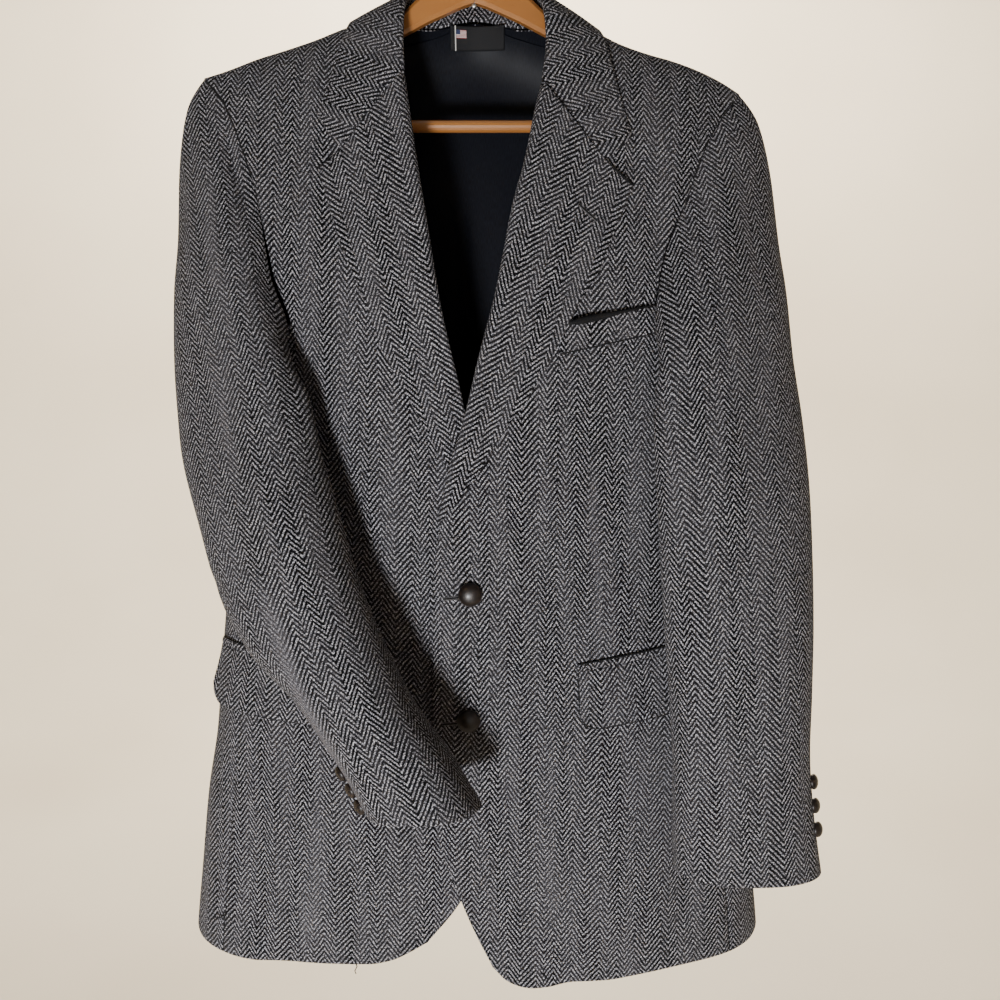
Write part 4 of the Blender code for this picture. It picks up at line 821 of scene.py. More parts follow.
def cut_flat(grid, flat, held, rounds=80):
    """The flat cut of a piece of cloth: moves the points of a first guess, apart from the held
    ones, until the distances between neighbours are those of the draped surface."""
    rows, columns = grid.shape[:2]
    index = np.arange(rows * columns).reshape(rows, columns)
    pairs = [(index[:-1], index[1:]), (index[:, :-1], index[:, 1:]),
             (index[:-1, :-1], index[1:, 1:]), (index[:-1, 1:], index[1:, :-1])]
    i = np.concatenate([a.ravel() for a, _ in pairs])
    j = np.concatenate([b.ravel() for _, b in pairs])
    points = grid.reshape(-1, 3)
    rest = np.maximum(np.linalg.norm(points[i] - points[j], axis=-1), 0.05)
    weight = 1 / np.maximum(rest, 2.0)
    pull = np.zeros((len(points), len(points)))
    for a, b, sign in ((i, i, 1), (j, j, 1), (i, j, -1), (j, i, -1)):
        np.add.at(pull, (a, b), sign * weight)
    flat = flat.reshape(-1, 2).copy()
    free = ~held.ravel()
    solve = np.linalg.inv(pull[np.ix_(free, free)])
    fixed = pull[np.ix_(free, ~free)] @ flat[~free]
    for _ in range(rounds):
        way = unit(flat[i] - flat[j]) * (rest * weight)[:, None]
        force = np.zeros_like(flat)
        np.add.at(force, i, way)
        np.add.at(force, j, -way)
        flat[free] = solve @ (force[free] - fixed)
    return flat.reshape(rows, columns, 2)


def strip_map(grid, edge_column, turn=0.0):
    """The flat cut of a strip, turned so that one of its columns runs straight up, or leans to
    the first one by some degrees."""
    u = run_along(grid, 1)
    v = run_along(grid[::-1], 0)[::-1]
    held = np.zeros(u.shape, bool)
    held[-1, 0] = True
    flat = cut_flat(grid, np.stack([u, v], axis=-1), held, 200)
    flat -= flat[-1, edge_column]
    x, y = flat[0, edge_column] - flat[-1, edge_column]
    x, y = np.array((x, y)) / math.hypot(x, y)
    c, s = math.cos(math.radians(turn)), math.sin(math.radians(turn))
    return flat @ np.array(((y, x), (-x, y))) @ np.array(((c, s), (-s, c)))


def four_edges(grid):
    """A surface from its first row, its last row, its first column and its last column on."""
    return grid, grid[::-1], grid.swapaxes(0, 1), grid.swapaxes(0, 1)[::-1]


def drawn_in(grid, *amounts):
    """A surface with its four edges moved in along it by a distance each."""
    grid = grid.copy()
    for view, amount in zip(four_edges(grid), amounts):
        view[0] += unit(view[1] - view[0]) * amount
    return grid


def body_map(angle, z):
    """Distances in millimetres over the torso's face at an angle and height: round it from the
    middle of the front, and up it from below the hem."""
    row = np.clip((np.asarray(z) - LEVELS[0]) / (LEVELS[1] - LEVELS[0]), 0, len(LEVELS) - 1.001)
    column = np.clip((np.asarray(angle) - TURNS[0]) / (TURNS[1] - TURNS[0]), 0, len(TURNS) - 1.001)
    i, j = row.astype(int), column.astype(int)
    f, g = row - i, column - j
    return tuple((table[i, j] * (1 - g) + table[i, j + 1] * g) * (1 - f)
                 + (table[i + 1, j] * (1 - g) + table[i + 1, j + 1] * g) * f
                 for table in (ROUND, RISE))


LEVELS = np.arange(-975.0, -60.0, 5.0)
TURNS = np.radians(np.arange(-182.0, 183.0, 2.0))
FACE = torso(TURNS[None], LEVELS[:, None])
ROUND = run_along(FACE, 1)
ROUND -= ROUND[:, [len(TURNS) // 2]]
RISE = run_along(FACE * (0, 1, 1), 0)


def marks(points, table):
    return streaks(points[..., 0], points[..., 2], table)


def creased(points, out, table):
    """A surface with its soft ridges and troughs."""
    return points + out * marks(points, table)[..., None]


# Making the meshes

def hex_colour(code):
    """A colour given as sRGB hex, turned to linear."""
    parts = [int(code[i:i + 2], 16) / 255 for i in (1, 3, 5)]
    return [p / 12.92 if p <= 0.04045 else ((p + 0.055) / 1.055) ** 2.4 for p in parts] + [1.0]


def placed(name, data):
    """Puts a mesh, a lamp or a camera in the scene."""
    made = bpy.data.objects.new(name, data)
    bpy.context.scene.collection.objects.link(made)
    return made


def add_mesh(name, points, faces, materials, inside=None):
    mesh = bpy.data.meshes.new(name)
    mesh.from_pydata((np.asarray(points) * MM).tolist(), [], faces)
    for each in materials:
        mesh.materials.append(each)
    mesh.polygons.foreach_set("use_smooth", np.ones(len(mesh.polygons), bool))
    if inside is not None:
        mesh.polygons.foreach_set("material_index", np.asarray(inside, np.int32))
    return placed(name, mesh)


def flat_map(made, u, v, nap):
    """Gives a mesh its place in the flat cloth in millimetres, and its nap point by point."""
    mesh = made.data
    corner = np.empty(len(mesh.loops), np.int32)
    mesh.loops.foreach_get("vertex_index", corner)
    place = np.stack([u[corner], v[corner]], axis=-1).astype(np.float32)
    mesh.uv_layers.new(name="cloth").data.foreach_set("uv", place.ravel())
    mesh.attributes.new("nap", "FLOAT", "POINT").data.foreach_set("value", nap.astype(np.float32))


SURFACES = {}  # the outer face of each piece of cloth and the way out of it


def add_cloth(node, outer, out, u, v, kind="tweed", thick=CLOTH, edge=0.6, lined=None,
              nap=None):
    """A wall of cloth: its outer face, an inner face that much further in and a rounded edge all
    round. Its inside is lined further in than so many rows and columns from its edges."""
    rows, columns = outer.shape[:2]
    count = rows * columns
    SURFACES[node] = outer, out
    inner = outer - out * thick
    index = np.arange(count).reshape(rows, columns)
    loop = np.concatenate([index[0, :-1], index[:-1, -1], index[-1, :0:-1], index[:0:-1, 0]])
    spread = np.zeros_like(outer)
    for way, face in zip(four_edges(spread), four_edges(outer)):
        way[0] += unit(face[0] - face[1])
    middle = (outer + inner) / 2 + unit(spread) * edge
    flat = outer.reshape(-1, 3)
    points = np.concatenate([flat, inner.reshape(-1, 3), middle.reshape(-1, 3)[loop]])
    quads = np.stack([index[:-1, :-1], index[:-1, 1:], index[1:, 1:], index[1:, :-1]], -1)
    quads = quads.reshape(-1, 4)
    after = np.roll(loop, -1)
    rim = 2 * count + np.arange(len(loop))
    rim_after = np.roll(rim, -1)
    upper = np.stack([loop, rim, rim_after, after], -1)
    lower = np.stack([rim, loop + count, after + count, rim_after], -1)
    a, b, c, d = flat[quads].swapaxes(0, 1)
    if np.sum(np.cross(c - a, d - b) * out.reshape(-1, 3)[quads[:, 0]]) < 0:
        quads, upper, lower = quads[:, ::-1], upper[:, ::-1], lower[:, ::-1]
    faces = np.concatenate([quads, quads[:, ::-1] + count, upper, lower]).tolist()
    inside = np.zeros(len(faces), int)
    materials = [FINISH[kind]]
    if lined:
        row, column = np.indices((rows - 1, columns - 1))
        deep = (row >= lined[0]) & (column >= lined[1]) & (column <= columns - 2 - lined[2])
        inside[len(quads):2 * len(quads)] = deep.reshape(-1)
        materials.append(FINISH["satin"])
    made = add_mesh(f"{node}_cloth", points, faces, materials, inside)
    flat_map(made, *(np.concatenate([each.ravel(), each.ravel(), each.ravel()[loop]])
                     for each in (u, v, np.zeros(u.shape) if nap is None else nap)))
    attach(made, "root")
    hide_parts(node)


# Materials

def add(tree, kind, inputs=(), out=0, stops=(), **settings):
    """Adds a node with its settings: an input takes a value, a colour as hex or another node's
    output, and a ramp takes its stops. It gives back one of the node's outputs."""
    made = tree.nodes.new("ShaderNode" + kind)
    for key, value in settings.items():
        setattr(made, key, value)
    for key, value in dict(inputs).items():
        if isinstance(value, bpy.types.NodeSocket):
            tree.links.new(value, made.inputs[key])
        else:
            made.inputs[key].default_value = hex_colour(value) if isinstance(value, str) else value
    for index, (at, value) in enumerate(stops):
        points = made.color_ramp.elements
        point = points[index] if index < 2 else points.new(at)
        point.position = at
        point.color = hex_colour(value) if isinstance(value, str) else (value, value, value, 1)
    return made.outputs[out] if made.outputs else made


def material(name, build, *colours):
    """A material whose surface is the shader that its build function gives back."""
    made = bpy.data.materials.new(name)
    made.use_nodes = True
    made.node_tree.nodes.clear()
    add(made.node_tree, "OutputMaterial", {"Surface": build(made.node_tree, *colours)})
    return made


# The twill turns at each of these widths and starts again after the last, in millimetres, and
# climbs or falls by each slope between
COLUMN_WIDTHS = (6.8, 8.9, 6.8, 8.9, 10.6, 14.2)
TWILL_SLOPES = (1.53, 1.4, 1.53, 1.4, 1.48, 1.18)
TWILL_PITCH = 5.19


def wool_tweed(tree):
    """Woollen tweed woven in an uneven herringbone: a light grey weft over a charcoal warp. Its
    hairy woollen yarns scatter light, so it is quite matt with a faint pale nap."""
    cloth = add(tree, "UVMap", uv_map="cloth")
    # The yarns wander 2 mm over every 14 mm, and each hair 1.4 mm over every 1.1 mm.
    drift = cloth
    for scale, reach in ((0.07, (1.8, 2.2, 0)), (0.9, (1.4, 1.4, 0))):
        off = add(tree, "TexNoise", {"Vector": cloth, "Scale": scale, "Detail": 1.0}, "Color")
        off = add(tree, "VectorMath", {0: off, 1: (0.5, 0.5, 0.5)}, operation="SUBTRACT")
        drift = add(tree, "VectorMath", {0: off, 1: reach, 2: drift}, operation="MULTIPLY_ADD")
    place = add(tree, "SeparateXYZ", {0: drift}).node.outputs
    repeat = sum(COLUMN_WIDTHS)
    turns, heights, way = [0.0], [0.0], 1
    for width, slope in zip(COLUMN_WIDTHS, TWILL_SLOPES):
        turns.append(turns[-1] + width)
        heights.append(heights[-1] + way * width * slope)
        way = -way
    base, climb = min(heights), max(heights) - min(heights)
    share = add(tree, "Math", {0: place[0], 1: 1 / repeat}, operation="MULTIPLY")
    share = add(tree, "Math", {0: share}, operation="FRACT")
    zigzag = add(tree, "ValToRGB", {"Fac": share}, stops=[
        (turn / repeat, (height - base) / climb) for turn, height in zip(turns, heights)])
    rise = add(tree, "Math", {0: place[1], 1: 1 / TWILL_PITCH}, operation="MULTIPLY")
    lines = add(tree, "Math", {0: zigzag, 1: climb / TWILL_PITCH, 2: rise},
                operation="MULTIPLY_ADD")
    wave = add(tree, "Math", {0: lines, 1: 0.5}, operation="PINGPONG")
    # The yarn is thick and thin every 1.3 mm, and its hairs tuft every 0.9 mm.
    slub = add(tree, "TexNoise", {"Vector": cloth, "Scale": 0.8, "Detail": 3.0,
                                  "Roughness": 0.75}, "Fac")
    fleck = add(tree, "TexNoise", {"Vector": cloth, "Scale": 1.1, "Detail": 2.0,
                                   "Roughness": 0.6}, "Fac")
    ragged = add(tree, "Math", {0: fleck, 1: 0.4, 2: -0.2}, operation="MULTIPLY_ADD")
    wave = add(tree, "Math", {0: wave, 1: ragged}, operation="ADD")
    weft = add(tree, "MapRange", {"Value": wave, "From Min": 0.23, "From Max": 0.35},
               interpolation_type="SMOOTHSTEP")
    light = add(tree, "ValToRGB", {"Fac": slub}, stops=[
        (0.38, "#18171B"), (0.5, "#504F54"), (0.61, "#CAC9D0")])
    dark = add(tree, "ValToRGB", {"Fac": fleck}, stops=[
        (0.35, "#030304"), (0.62, "#09090A"), (0.82, "#2A2829")])
    colour = add(tree, "Mix", {0: weft, 6: dark, 7: light}, 2, data_type="RGBA")
    # A rubbed nap hides the lines, in patches 17 mm wide and most where the cloth is worn.
    nap = add(tree, "Attribute", out="Fac", attribute_name="nap")
    stripes = add(tree, "Mapping", {"Vector": cloth, "Scale": (1.0, 0.12, 1.0)})
    broad = add(tree, "TexNoise", {"Vector": stripes, "Scale": 0.06, "Detail": 3.0}, "Fac")
    broad = add(tree, "MapRange", {"Value": broad, "From Min": 0.4, "From Max": 0.65,
                                   "To Max": 0.2})
    haze = add(tree, "Math", {0: broad, 1: nap}, operation="ADD", use_clamp=True)
    fuzz = add(tree, "ValToRGB", {"Fac": fleck}, stops=[(0.42, "#1C1B1E"), (0.58, "#7B797E")])
    colour = add(tree, "Mix", {0: haze, 6: colour, 7: fuzz}, 2, data_type="RGBA")
    # Here and there a dyed yarn shows, about 3 mm of it, and a speck of pale lint, about 2 mm.
    for scale, low, high, most, code, blend in ((0.35, 0.66, 0.74, 0.3, "#8E7266", "SOFT_LIGHT"),
                                                (0.45, 0.76, 0.82, 0.5, "#D8D0C8", "MIX")):
        spots = add(tree, "TexNoise", {"Vector": cloth, "Scale": scale, "Detail": 1.0}, "Fac")
        spots = add(tree, "MapRange", {"Value": spots, "From Min": low, "From Max": high,
                                       "To Max": most})
        colour = add(tree, "Mix", {0: spots, 6: colour, 7: code}, 2, data_type="RGBA",
                     blend_type=blend)
    relief = add(tree, "Math", {0: slub, 1: 0.8, 2: weft}, operation="MULTIPLY_ADD")
    bump = add(tree, "Bump", {"Strength": 0.5, "Distance": 0.0005, "Height": relief})
    return add(tree, "BsdfPrincipled", {
        "Base Color": colour, "Roughness": 0.95, "Specular IOR Level": 0.05, "IOR": 1.5,
        "Sheen Weight": 0.05, "Sheen Roughness": 0.6, "Sheen Tint": "#B5B0AA", "Normal": bump})


def satin_lining(tree):
    """Viscose satin, dyed a blue black: smooth floats of filament yarn with a soft sheen."""
    cloth = add(tree, "UVMap", uv_map="cloth")
    wide = add(tree, "Mapping", {"Vector": cloth, "Scale": (1.0, 0.12, 1.0)})
    # The floats are 0.6 mm apart and 5 mm long, coarser than real ones, which wouldn't show.
    thread = add(tree, "TexNoise", {"Vector": wide, "Scale": 1.6, "Detail": 2.0}, "Fac")
    colour = add(tree, "ValToRGB", {"Fac": thread}, stops=[(0.3, "#0B0C11"), (0.7, "#15171E")])
    bump = add(tree, "Bump", {"Strength": 0.15, "Distance": 0.0002, "Height": thread})
    return add(tree, "BsdfPrincipled", {
        "Base Color": colour, "Roughness": 0.42, "Specular IOR Level": 0.06, "IOR": 1.5,
        "Normal": bump})


# The flag at the label's corner: its left and lower edge, width and height
FLAG = (-19.0, 9.5, 9.0, 6.0)


def woven_label(tree):
    """A damask-woven polyester label, black, with a pale line along its left edge and a small
    flag of thirteen stripes and a blue canton."""
    cloth = add(tree, "UVMap", uv_map="cloth")
    place = add(tree, "SeparateXYZ", {0: cloth}).node.outputs
    # Two picks of the weave in each millimetre.
    rib = add(tree, "Math", {0: place[1], 1: 2.0}, operation="MULTIPLY")
    rib = add(tree, "Math", {0: rib, 1: 0.5}, operation="PINGPONG")
    colour = add(tree, "ValToRGB", {"Fac": rib}, stops=[(0.1, "#0C0C0E"), (0.5, "#1A1A1D")])
    # Places on the flag run from 0 to 1 across it and up it.
    left, low, width, height = FLAG
    over = add(tree, "MapRange", {"Value": place[0], "From Min": left, "From Max": left + width},
               clamp=False)
    up = add(tree, "MapRange", {"Value": place[1], "From Min": low, "From Max": low + height},
             clamp=False)
    stripes = add(tree, "Math", {0: up, 1: 6.5}, operation="MULTIPLY")
    stripes = add(tree, "Math", {0: stripes}, operation="FRACT")
    stripes = add(tree, "Math", {0: stripes, 1: 0.5}, operation="LESS_THAN")
    field = add(tree, "Mix", {0: stripes, 6: "#C9C2BE", 7: "#8E3A40"}, 2, data_type="RGBA")
    canton = add(tree, "Math", {0: over, 1: 0.4}, operation="LESS_THAN")
    upper = add(tree, "Math", {0: up, 1: 6 / 13}, operation="GREATER_THAN")
    canton = add(tree, "Math", {0: canton, 1: upper}, operation="MULTIPLY")
    field = add(tree, "Mix", {0: canton, 6: field, 7: "#2C3350"}, 2, data_type="RGBA")
    inside = 1.0
    for value in (over, up):
        off = add(tree, "Math", {0: value, 1: 0.5, 2: 0.5}, operation="COMPARE")
        inside = add(tree, "Math", {0: off, 1: inside}, operation="MULTIPLY")
    colour = add(tree, "Mix", {0: inside, 6: colour, 7: field}, 2, data_type="RGBA")
    line = add(tree, "Math", {0: place[0], 1: left - 0.8, 2: 0.45}, operation="COMPARE")
    colour = add(tree, "Mix", {0: line, 6: colour, 7: "#C9C8C4"}, 2, data_type="RGBA")
    return add(tree, "BsdfPrincipled", {
        "Base Color": colour, "Roughness": 0.7, "Specular IOR Level": 0.2})


def button_leather(tree):
    """Dyed cowhide pulled over a domed form: fine grain and creases under a waxed finish."""
    at = add(tree, "TexCoord", out="Object")
    # The grain's cells are 0.7 mm wide and its creases 4 mm apart.
    grain = add(tree, "TexVoronoi", {"Vector": at, "Scale": 1500.0}, feature="DISTANCE_TO_EDGE")
    crease = add(tree, "TexNoise", {"Vector": at, "Scale": 260.0, "Detail": 4.0,
                                    "Roughness": 0.6}, "Fac")
    colour = add(tree, "ValToRGB", {"Fac": crease}, stops=[
        (0.3, "#0D0807"), (0.55, "#19110E"), (0.78, "#2B1F1A")])
    height = add(tree, "Math", {0: grain, 1: 0.4, 2: crease}, operation="MULTIPLY_ADD")
    bump = add(tree, "Bump", {"Strength": 0.35, "Distance": 0.0004, "Height": height})
    return add(tree, "BsdfPrincipled", {
        "Base Color": colour, "Roughness": 0.42, "Specular IOR Level": 0.3,
        "Coat Weight": 0.12, "Coat Roughness": 0.2, "Normal": bump})


def varnished_beech(tree):
    """Steamed beech, planed and varnished: short dark flecks along the grain, thinly glossed."""
    at = add(tree, "TexCoord", out="Object")
    grain = add(tree, "Mapping", {"Vector": at, "Scale": (0.12, 1.0, 1.0)})
    # Its colour changes every 110 mm across the grain, with flecks 3 mm wide and 26 mm long.
    broad = add(tree, "TexNoise", {"Vector": grain, "Scale": 9.0, "Detail": 4.0,
                                   "Roughness": 0.6}, "Fac")
    flecks = add(tree, "TexNoise", {"Vector": grain, "Scale": 320.0, "Detail": 3.0,
                                    "Roughness": 0.7}, "Fac")
    colour = add(tree, "ValToRGB", {"Fac": broad}, stops=[
        (0.3, "#80501F"), (0.5, "#99622C"), (0.72, "#AE783D")])
    fleck = add(tree, "MapRange", {"Value": flecks, "From Min": 0.6, "From Max": 0.72,
                                   "To Max": 0.5})
    colour = add(tree, "Mix", {0: fleck, 6: colour, 7: "#6C3E1A"}, 2, data_type="RGBA")
    bump = add(tree, "Bump", {"Strength": 0.15, "Distance": 0.0003, "Height": flecks})
    return add(tree, "BsdfPrincipled", {
        "Base Color": colour, "Roughness": 0.4, "Coat Weight": 0.5, "Coat Roughness": 0.15,
        "Normal": bump})


def plated_steel(tree):
    """Zinc-plated steel wire: a drawn surface with small dull spots."""
    at = add(tree, "TexCoord", out="Object")
    # The spots are 4.5 mm wide.
    spots = add(tree, "TexNoise", {"Vector": at, "Scale": 220.0, "Detail": 3.0}, "Fac")
    colour = add(tree, "ValToRGB", {"Fac": spots}, stops=[(0.35, "#A9ABAE"), (0.65, "#D0D2D4")])
    rough = add(tree, "MapRange", {"Value": spots, "From Min": 0.3, "From Max": 0.7,
                                   "To Min": 0.22, "To Max": 0.4})
    return add(tree, "BsdfPrincipled", {
        "Base Color": colour, "Metallic": 1.0, "Roughness": rough})


def sewing_thread(tree, code, shade):
    """Spun polyester sewing thread, twisted and matt."""
    at = add(tree, "TexCoord", out="Object")
    # The plies turn every 1.1 mm.
    twist = add(tree, "TexNoise", {"Vector": at, "Scale": 900.0, "Detail": 1.0}, "Fac")
    colour = add(tree, "ValToRGB", {"Fac": twist}, stops=[(0.4, code), (0.6, shade)])
    return add(tree, "BsdfPrincipled", {
        "Base Color": colour, "Roughness": 0.8, "Specular IOR Level": 0.2})


def matt_paint(tree):
    """Matt emulsion on a plastered board, a little uneven."""
    at = add(tree, "TexCoord", out="Object")
    # It changes every 0.7 m.
    patch = add(tree, "TexNoise", {"Vector": at, "Scale": 1.5, "Detail": 2.0}, "Fac")
    colour = add(tree, "ValToRGB", {"Fac": patch}, stops=[(0.3, "#C6BFAF"), (0.7, "#CDC7B8")])
    return add(tree, "BsdfPrincipled", {"Base Color": colour, "Roughness": 0.9})


FINISH = {
    "tweed": material("wool_tweed", wool_tweed),
    "satin": material("satin_lining", satin_lining),
    "label": material("woven_label", woven_label),
    "leather": material("button_leather", button_leather),
    "wood": material("varnished_beech", varnished_beech),
    "steel": material("plated_steel", plated_steel),
    "thread": material("grey_thread", sewing_thread, "#69686A", "#4A494B"),
    # Black thread for the shanks and the loose ends at the hem; the same finish gives the dark
    # strands that are painted shade.
    "dark_thread_and_shade": material("black_thread_and_painted_shade", sewing_thread, "#0A0A0B", "#151517"),
}

# Creases: from one x and z to another, how far they bow, and their width and height
CREASES = {
    "front_right": (
        (-160, -285, -80, -610, 8, 26, -4.0), (-150, -440, -190, -620, -6, 22, 1.2),
        (-60, -640, -90, -900, 10, 34, 1.8), (-170, -700, -185, -910, -6, 30, -1.6),
        (-178, -225, -160, -330, 4, 12, 1.2), (-60, -440, -22, -570, -6, 16, 1.0)),
    "front_left": (
        (132, -215, 158, -330, 3, 11, -1.4), (112, -400, 122, -640, -6, 26, -1.5),
        (45, -520, 62, -900, 12, 38, 1.6), (135, -690, 158, -905, -8, 26, 1.6),
        (84, -664, 168, -650, 0, 4.5, -2.2), (68, -366.5, 116, -360, 1, 4.5, -4.2),
        (110, -361, 152, -354, 0, 4, -1.6), (100, -450, 104, -650, 0, 3.5, -0.7),
        (30, -450, 6, -575, 5, 15, 0.9)),
    "back_right": (
        (-60, -210, -105, -420, 8, 30, 2.0), (-130, -330, -90, -610, -10, 26, -1.8),
        (-45, -560, -70, -880, 6, 34, 1.8), (-150, -620, -165, -890, -8, 30, -1.6)),
    "back_left": (
        (70, -230, 120, -450, -9, 28, 1.8), (140, -360, 95, -640, 12, 30, -2.0),
        (40, -600, 62, -890, -6, 30, 1.6), (148, -600, 172, -880, 8, 34, -1.5)),
    "side_right": ((-236, -560, -240, -800, 5, 20, -1.4),),
    "side_left": ((236, -540, 240, -820, -5, 22, -1.4),),
    "sleeve_right": (
        (-209, -190, -164, -305, 5, 15, -6.0), (-225, -330, -214, -520, 6, 18, -1.6),
        (-190, -420, -160, -560, -8, 16, 1.4), (-168, -545, -212, -585, 4, 9, -1.6),
        (-150, -575, -202, -600, -4, 8, 1.2), (-120, -640, -80, -740, 6, 14, -1.3)),
    "sleeve_left": (
        (218, -215, 232, -420, -8, 16, -1.6), (196, -330, 214, -560, 6, 18, 1.3),
        (238, -520, 196, -560, 4, 9, -1.4), (240, -548, 200, -585, -4, 9, 1.1),
        (212, -620, 226, -790, -6, 16, -1.3)),
    "lining_back": (
        (-52, -210, -34, -640, 8, 12, -2.6), (-18, -220, -8, -500, -5, 9, 2.0),
        (30, -230, 44, -560, 6, 10, -2.0), (56, -260, 70, -700, 0, 12, 2.0),
        (-110, -200, -120, -800, 8, 14, -3.0),
        (112, -220, 126, -820, -8, 14, -3.0)),
}
# Where the right sleeve stands off the front, given the same way
STAND_OFF = ((-192, -235, -112, -640, 6, 46, 11.0), (-150, -470, 30, -830, 0, 36, 3.0))
# Places where the nap is rubbed up, given the same way, with its share in place of a height
WORN = {
    "sleeve_right": (
        (-168, -545, -66, -775, 10, 8, 0.7), (-217, -225, -207, -365, 2, 6, 0.35),
        (-200, -300, -188, -520, 4, 12, 0.25)),
    "sleeve_left": ((214, -300, 236, -700, -6, 8, 0.25),),
    "front_left": ((96, -459, 106, -650, 0, 3, 0.35), (60, -700, 70, -930, 0, 12, 0.15)),
    "front_right": ((-130, -760, -150, -930, 0, 14, 0.2),),
}


# The pieces

def body_cloth(part, side, angle, z, pulls, shift, lined, lift=0.0):
    """A front, side panel or back: its last row, first column and last column are drawn in, and
    its weave is shifted over and up."""
    node = f"{part}_{WORD[side]}"
    points = drawn_in(torso(angle, z, lift), 0, *pulls)
    out = out_from(points, (points - (0, 8, 0)) * (1, 1, 0))
    points = creased(points, out, CREASES[node])
    u, v = body_map(angle, z)
    add_cloth(node, points, out, u + shift[0], v + shift[1], lined=lined,
              nap=marks(points, WORN.get(node, ())))


def evened(grid, rounds=48):
    """The grid with its rows spread evenly inside edges that stay: they bunch at the armhole."""
    column = np.arange(grid.shape[1])
    share = np.clip(np.minimum(column, column[::-1]) / 4, 0, 1)[None, :, None]
    for _ in range(rounds):
        middle = (grid[:-2] + grid[2:]) / 2
        grid[1:-1] += (middle - grid[1:-1]) * share / 2
    return grid


def add_body(side):
    """The front, the side panel and the back of one side."""
    x, z = np.moveaxis(evened(finer(front_grid(side), 8, 5)), -1, 0)
    body_cloth("front", side, angle_of(x, z), z, (0.7, 0.8, 0.2), (3.0 * side, 0.0), (16, 14, 0),
               front_lift(side, x, z))
    angle, z = np.moveaxis(finer(np.stack(side_grid(side), axis=-1), 5, 4), -1, 0)
    body_cloth("side", side, angle, z, (1.0, 0.2, 0.2), (17.0, 2.0), (8, 0, 0))
    x, z = np.moveaxis(finer(back_grid(side), 5, 3), -1, 0)
    body_cloth("back", side, angle_of(x + side * NUDGE, z, back=True), z, (0.7, 0.3, 0.2),
               (0.0, 1.0), (8, 0, 0))


UPPER_FROM = 4  # columns of the sleeve's upper piece before the tip of the shoulder
UNDER_FROM = TOP_ROWS + 1
RING_STEPS, STEPS = 10, 3  # of its fine surface for each coarse ring and column
SEAM_DRAW, SEAM_RUN = 0.7, 3.5  # how far the armhole seam draws it in, and how far down
CREASE_FADE = 14.0


def add_sleeve(side):
    """The two pieces of a sleeve, cut from one closed surface."""
    name = f"sleeve_{WORD[side]}"
    coarse = sleeve_rings(side)
    rings = finer(coarse, RING_STEPS, STEPS, closed=True)
    out = out_from(rings, rings - rings[:, :-1].mean(axis=1, keepdims=True), closed=True)
    # The armhole seam draws the sleeve in, and its creases start below that.
    below = run_along(rings)
    raised = marks(rings, CREASES[name]) * ease(below / CREASE_FADE)
    drawn = SEAM_DRAW * np.exp(-((below / SEAM_RUN) ** 2))
    rings = rings + out * (raised - drawn)[..., None]
    if side == RIGHT:
        rings[..., 1] -= marks(rings, STAND_OFF) * np.clip(0.3 - out[..., 1], 0, 1)
    nap = marks(rings, WORN[name]) * (out[..., 1] < 0.3)
    count = coarse.shape[1]
    for part, columns, middle in (
            ("upper", [*range(count - UPPER_FROM, count), *range(UNDER_FROM + 1)], UPPER_FROM),
            ("under", [*range(UNDER_FROM, count - UPPER_FROM + 1)], 6)):
        flat = finer(strip_map(coarse[:, columns], middle), RING_STEPS, STEPS)[::-1]
        first = columns[0] * STEPS
        at = np.arange(first, first + (len(columns) - 1) * STEPS + 1) % (count * STEPS)
        surface = drawn_in(rings[:, at], 0.5, 0, 0.2, 0.2)
        add_cloth(f"{name}_{part}", surface[::-1], out[:, at][::-1], flat[..., 0], flat[..., 1],
                  lined=(6, 0, 0), nap=nap[:, at][::-1])


LAPEL_GRAIN = -9.5  # degrees between the weave and the lapel's outer edge


def add_lapel(side):
    coarse = lapel_grid(side)
    u, v = np.moveaxis(finer(strip_map(coarse, -1, LAPEL_GRAIN), 9, 4), -1, 0)
    grid = drawn_in(finer(coarse, 9, 4), 0.9)
    add_cloth(f"lapel_{WORD[side]}", grid, out_from(grid, (0, -1, 0)), u, v, edge=0.8)


def add_collar():
    coarse = np.concatenate([collar_rows(RIGHT), collar_rows(LEFT)[-2::-1]])
    u, v = np.moveaxis(finer(strip_map(coarse, STAND_TURNS + ROLL_TURNS), 8, 4), -1, 0)
    middle = drawn_in(finer(coarse, 8, 4), 0.8, 0.8)
    shown = np.zeros_like(middle)
    shown[:, -6:] = (0, -1, 1)
    out = out_from(middle, shown)
    add_cloth("collar", middle + out * CLOTH / 2, out, v, u, edge=0.8)


def add_pockets():
    for side in (RIGHT, LEFT):
        for part, (points, run, z), thick, shift in (
                ("flap", flap_grid(side), CLOTH, 23.0), ("jet", jet_grid(side), JET_CLOTH, 8.0)):
            add_cloth(f"{part}_{WORD[side]}", points, out_from(points, (0, -1, 0)),
                      side * run + shift, z - flap_top(side, run), thick=thick, edge=0.7)
    points, x, z = welt_grid()
    out = out_from(points, (0, -1, 0))
    gape = ease((MOUTH_END - x) / MOUTH_RUN) * ease(1 - (welt_top(x) - z) / WELT_HEIGHT)
    points = points + out * MOUTH_OPEN * gape[..., None]
    add_cloth("breast_welt", points, out, x + 5, z, thick=WELT_CLOTH, edge=0.7)


def add_lining():
    """The satin inside the back and the label on it, each built on its hidden face."""
    for node, (points, x, z), kind, thick, edge in (
            ("lining_back", lining_grid(), "satin", LINING, 0.4),
            ("label", label_grid(), "label", LABEL_CLOTH, 0.2)):
        out = out_from(points, (0, 1, 0))
        points = creased(points, out, CREASES.get(node, ()))
        add_cloth(node, points, out, x, z, kind, thick, edge)
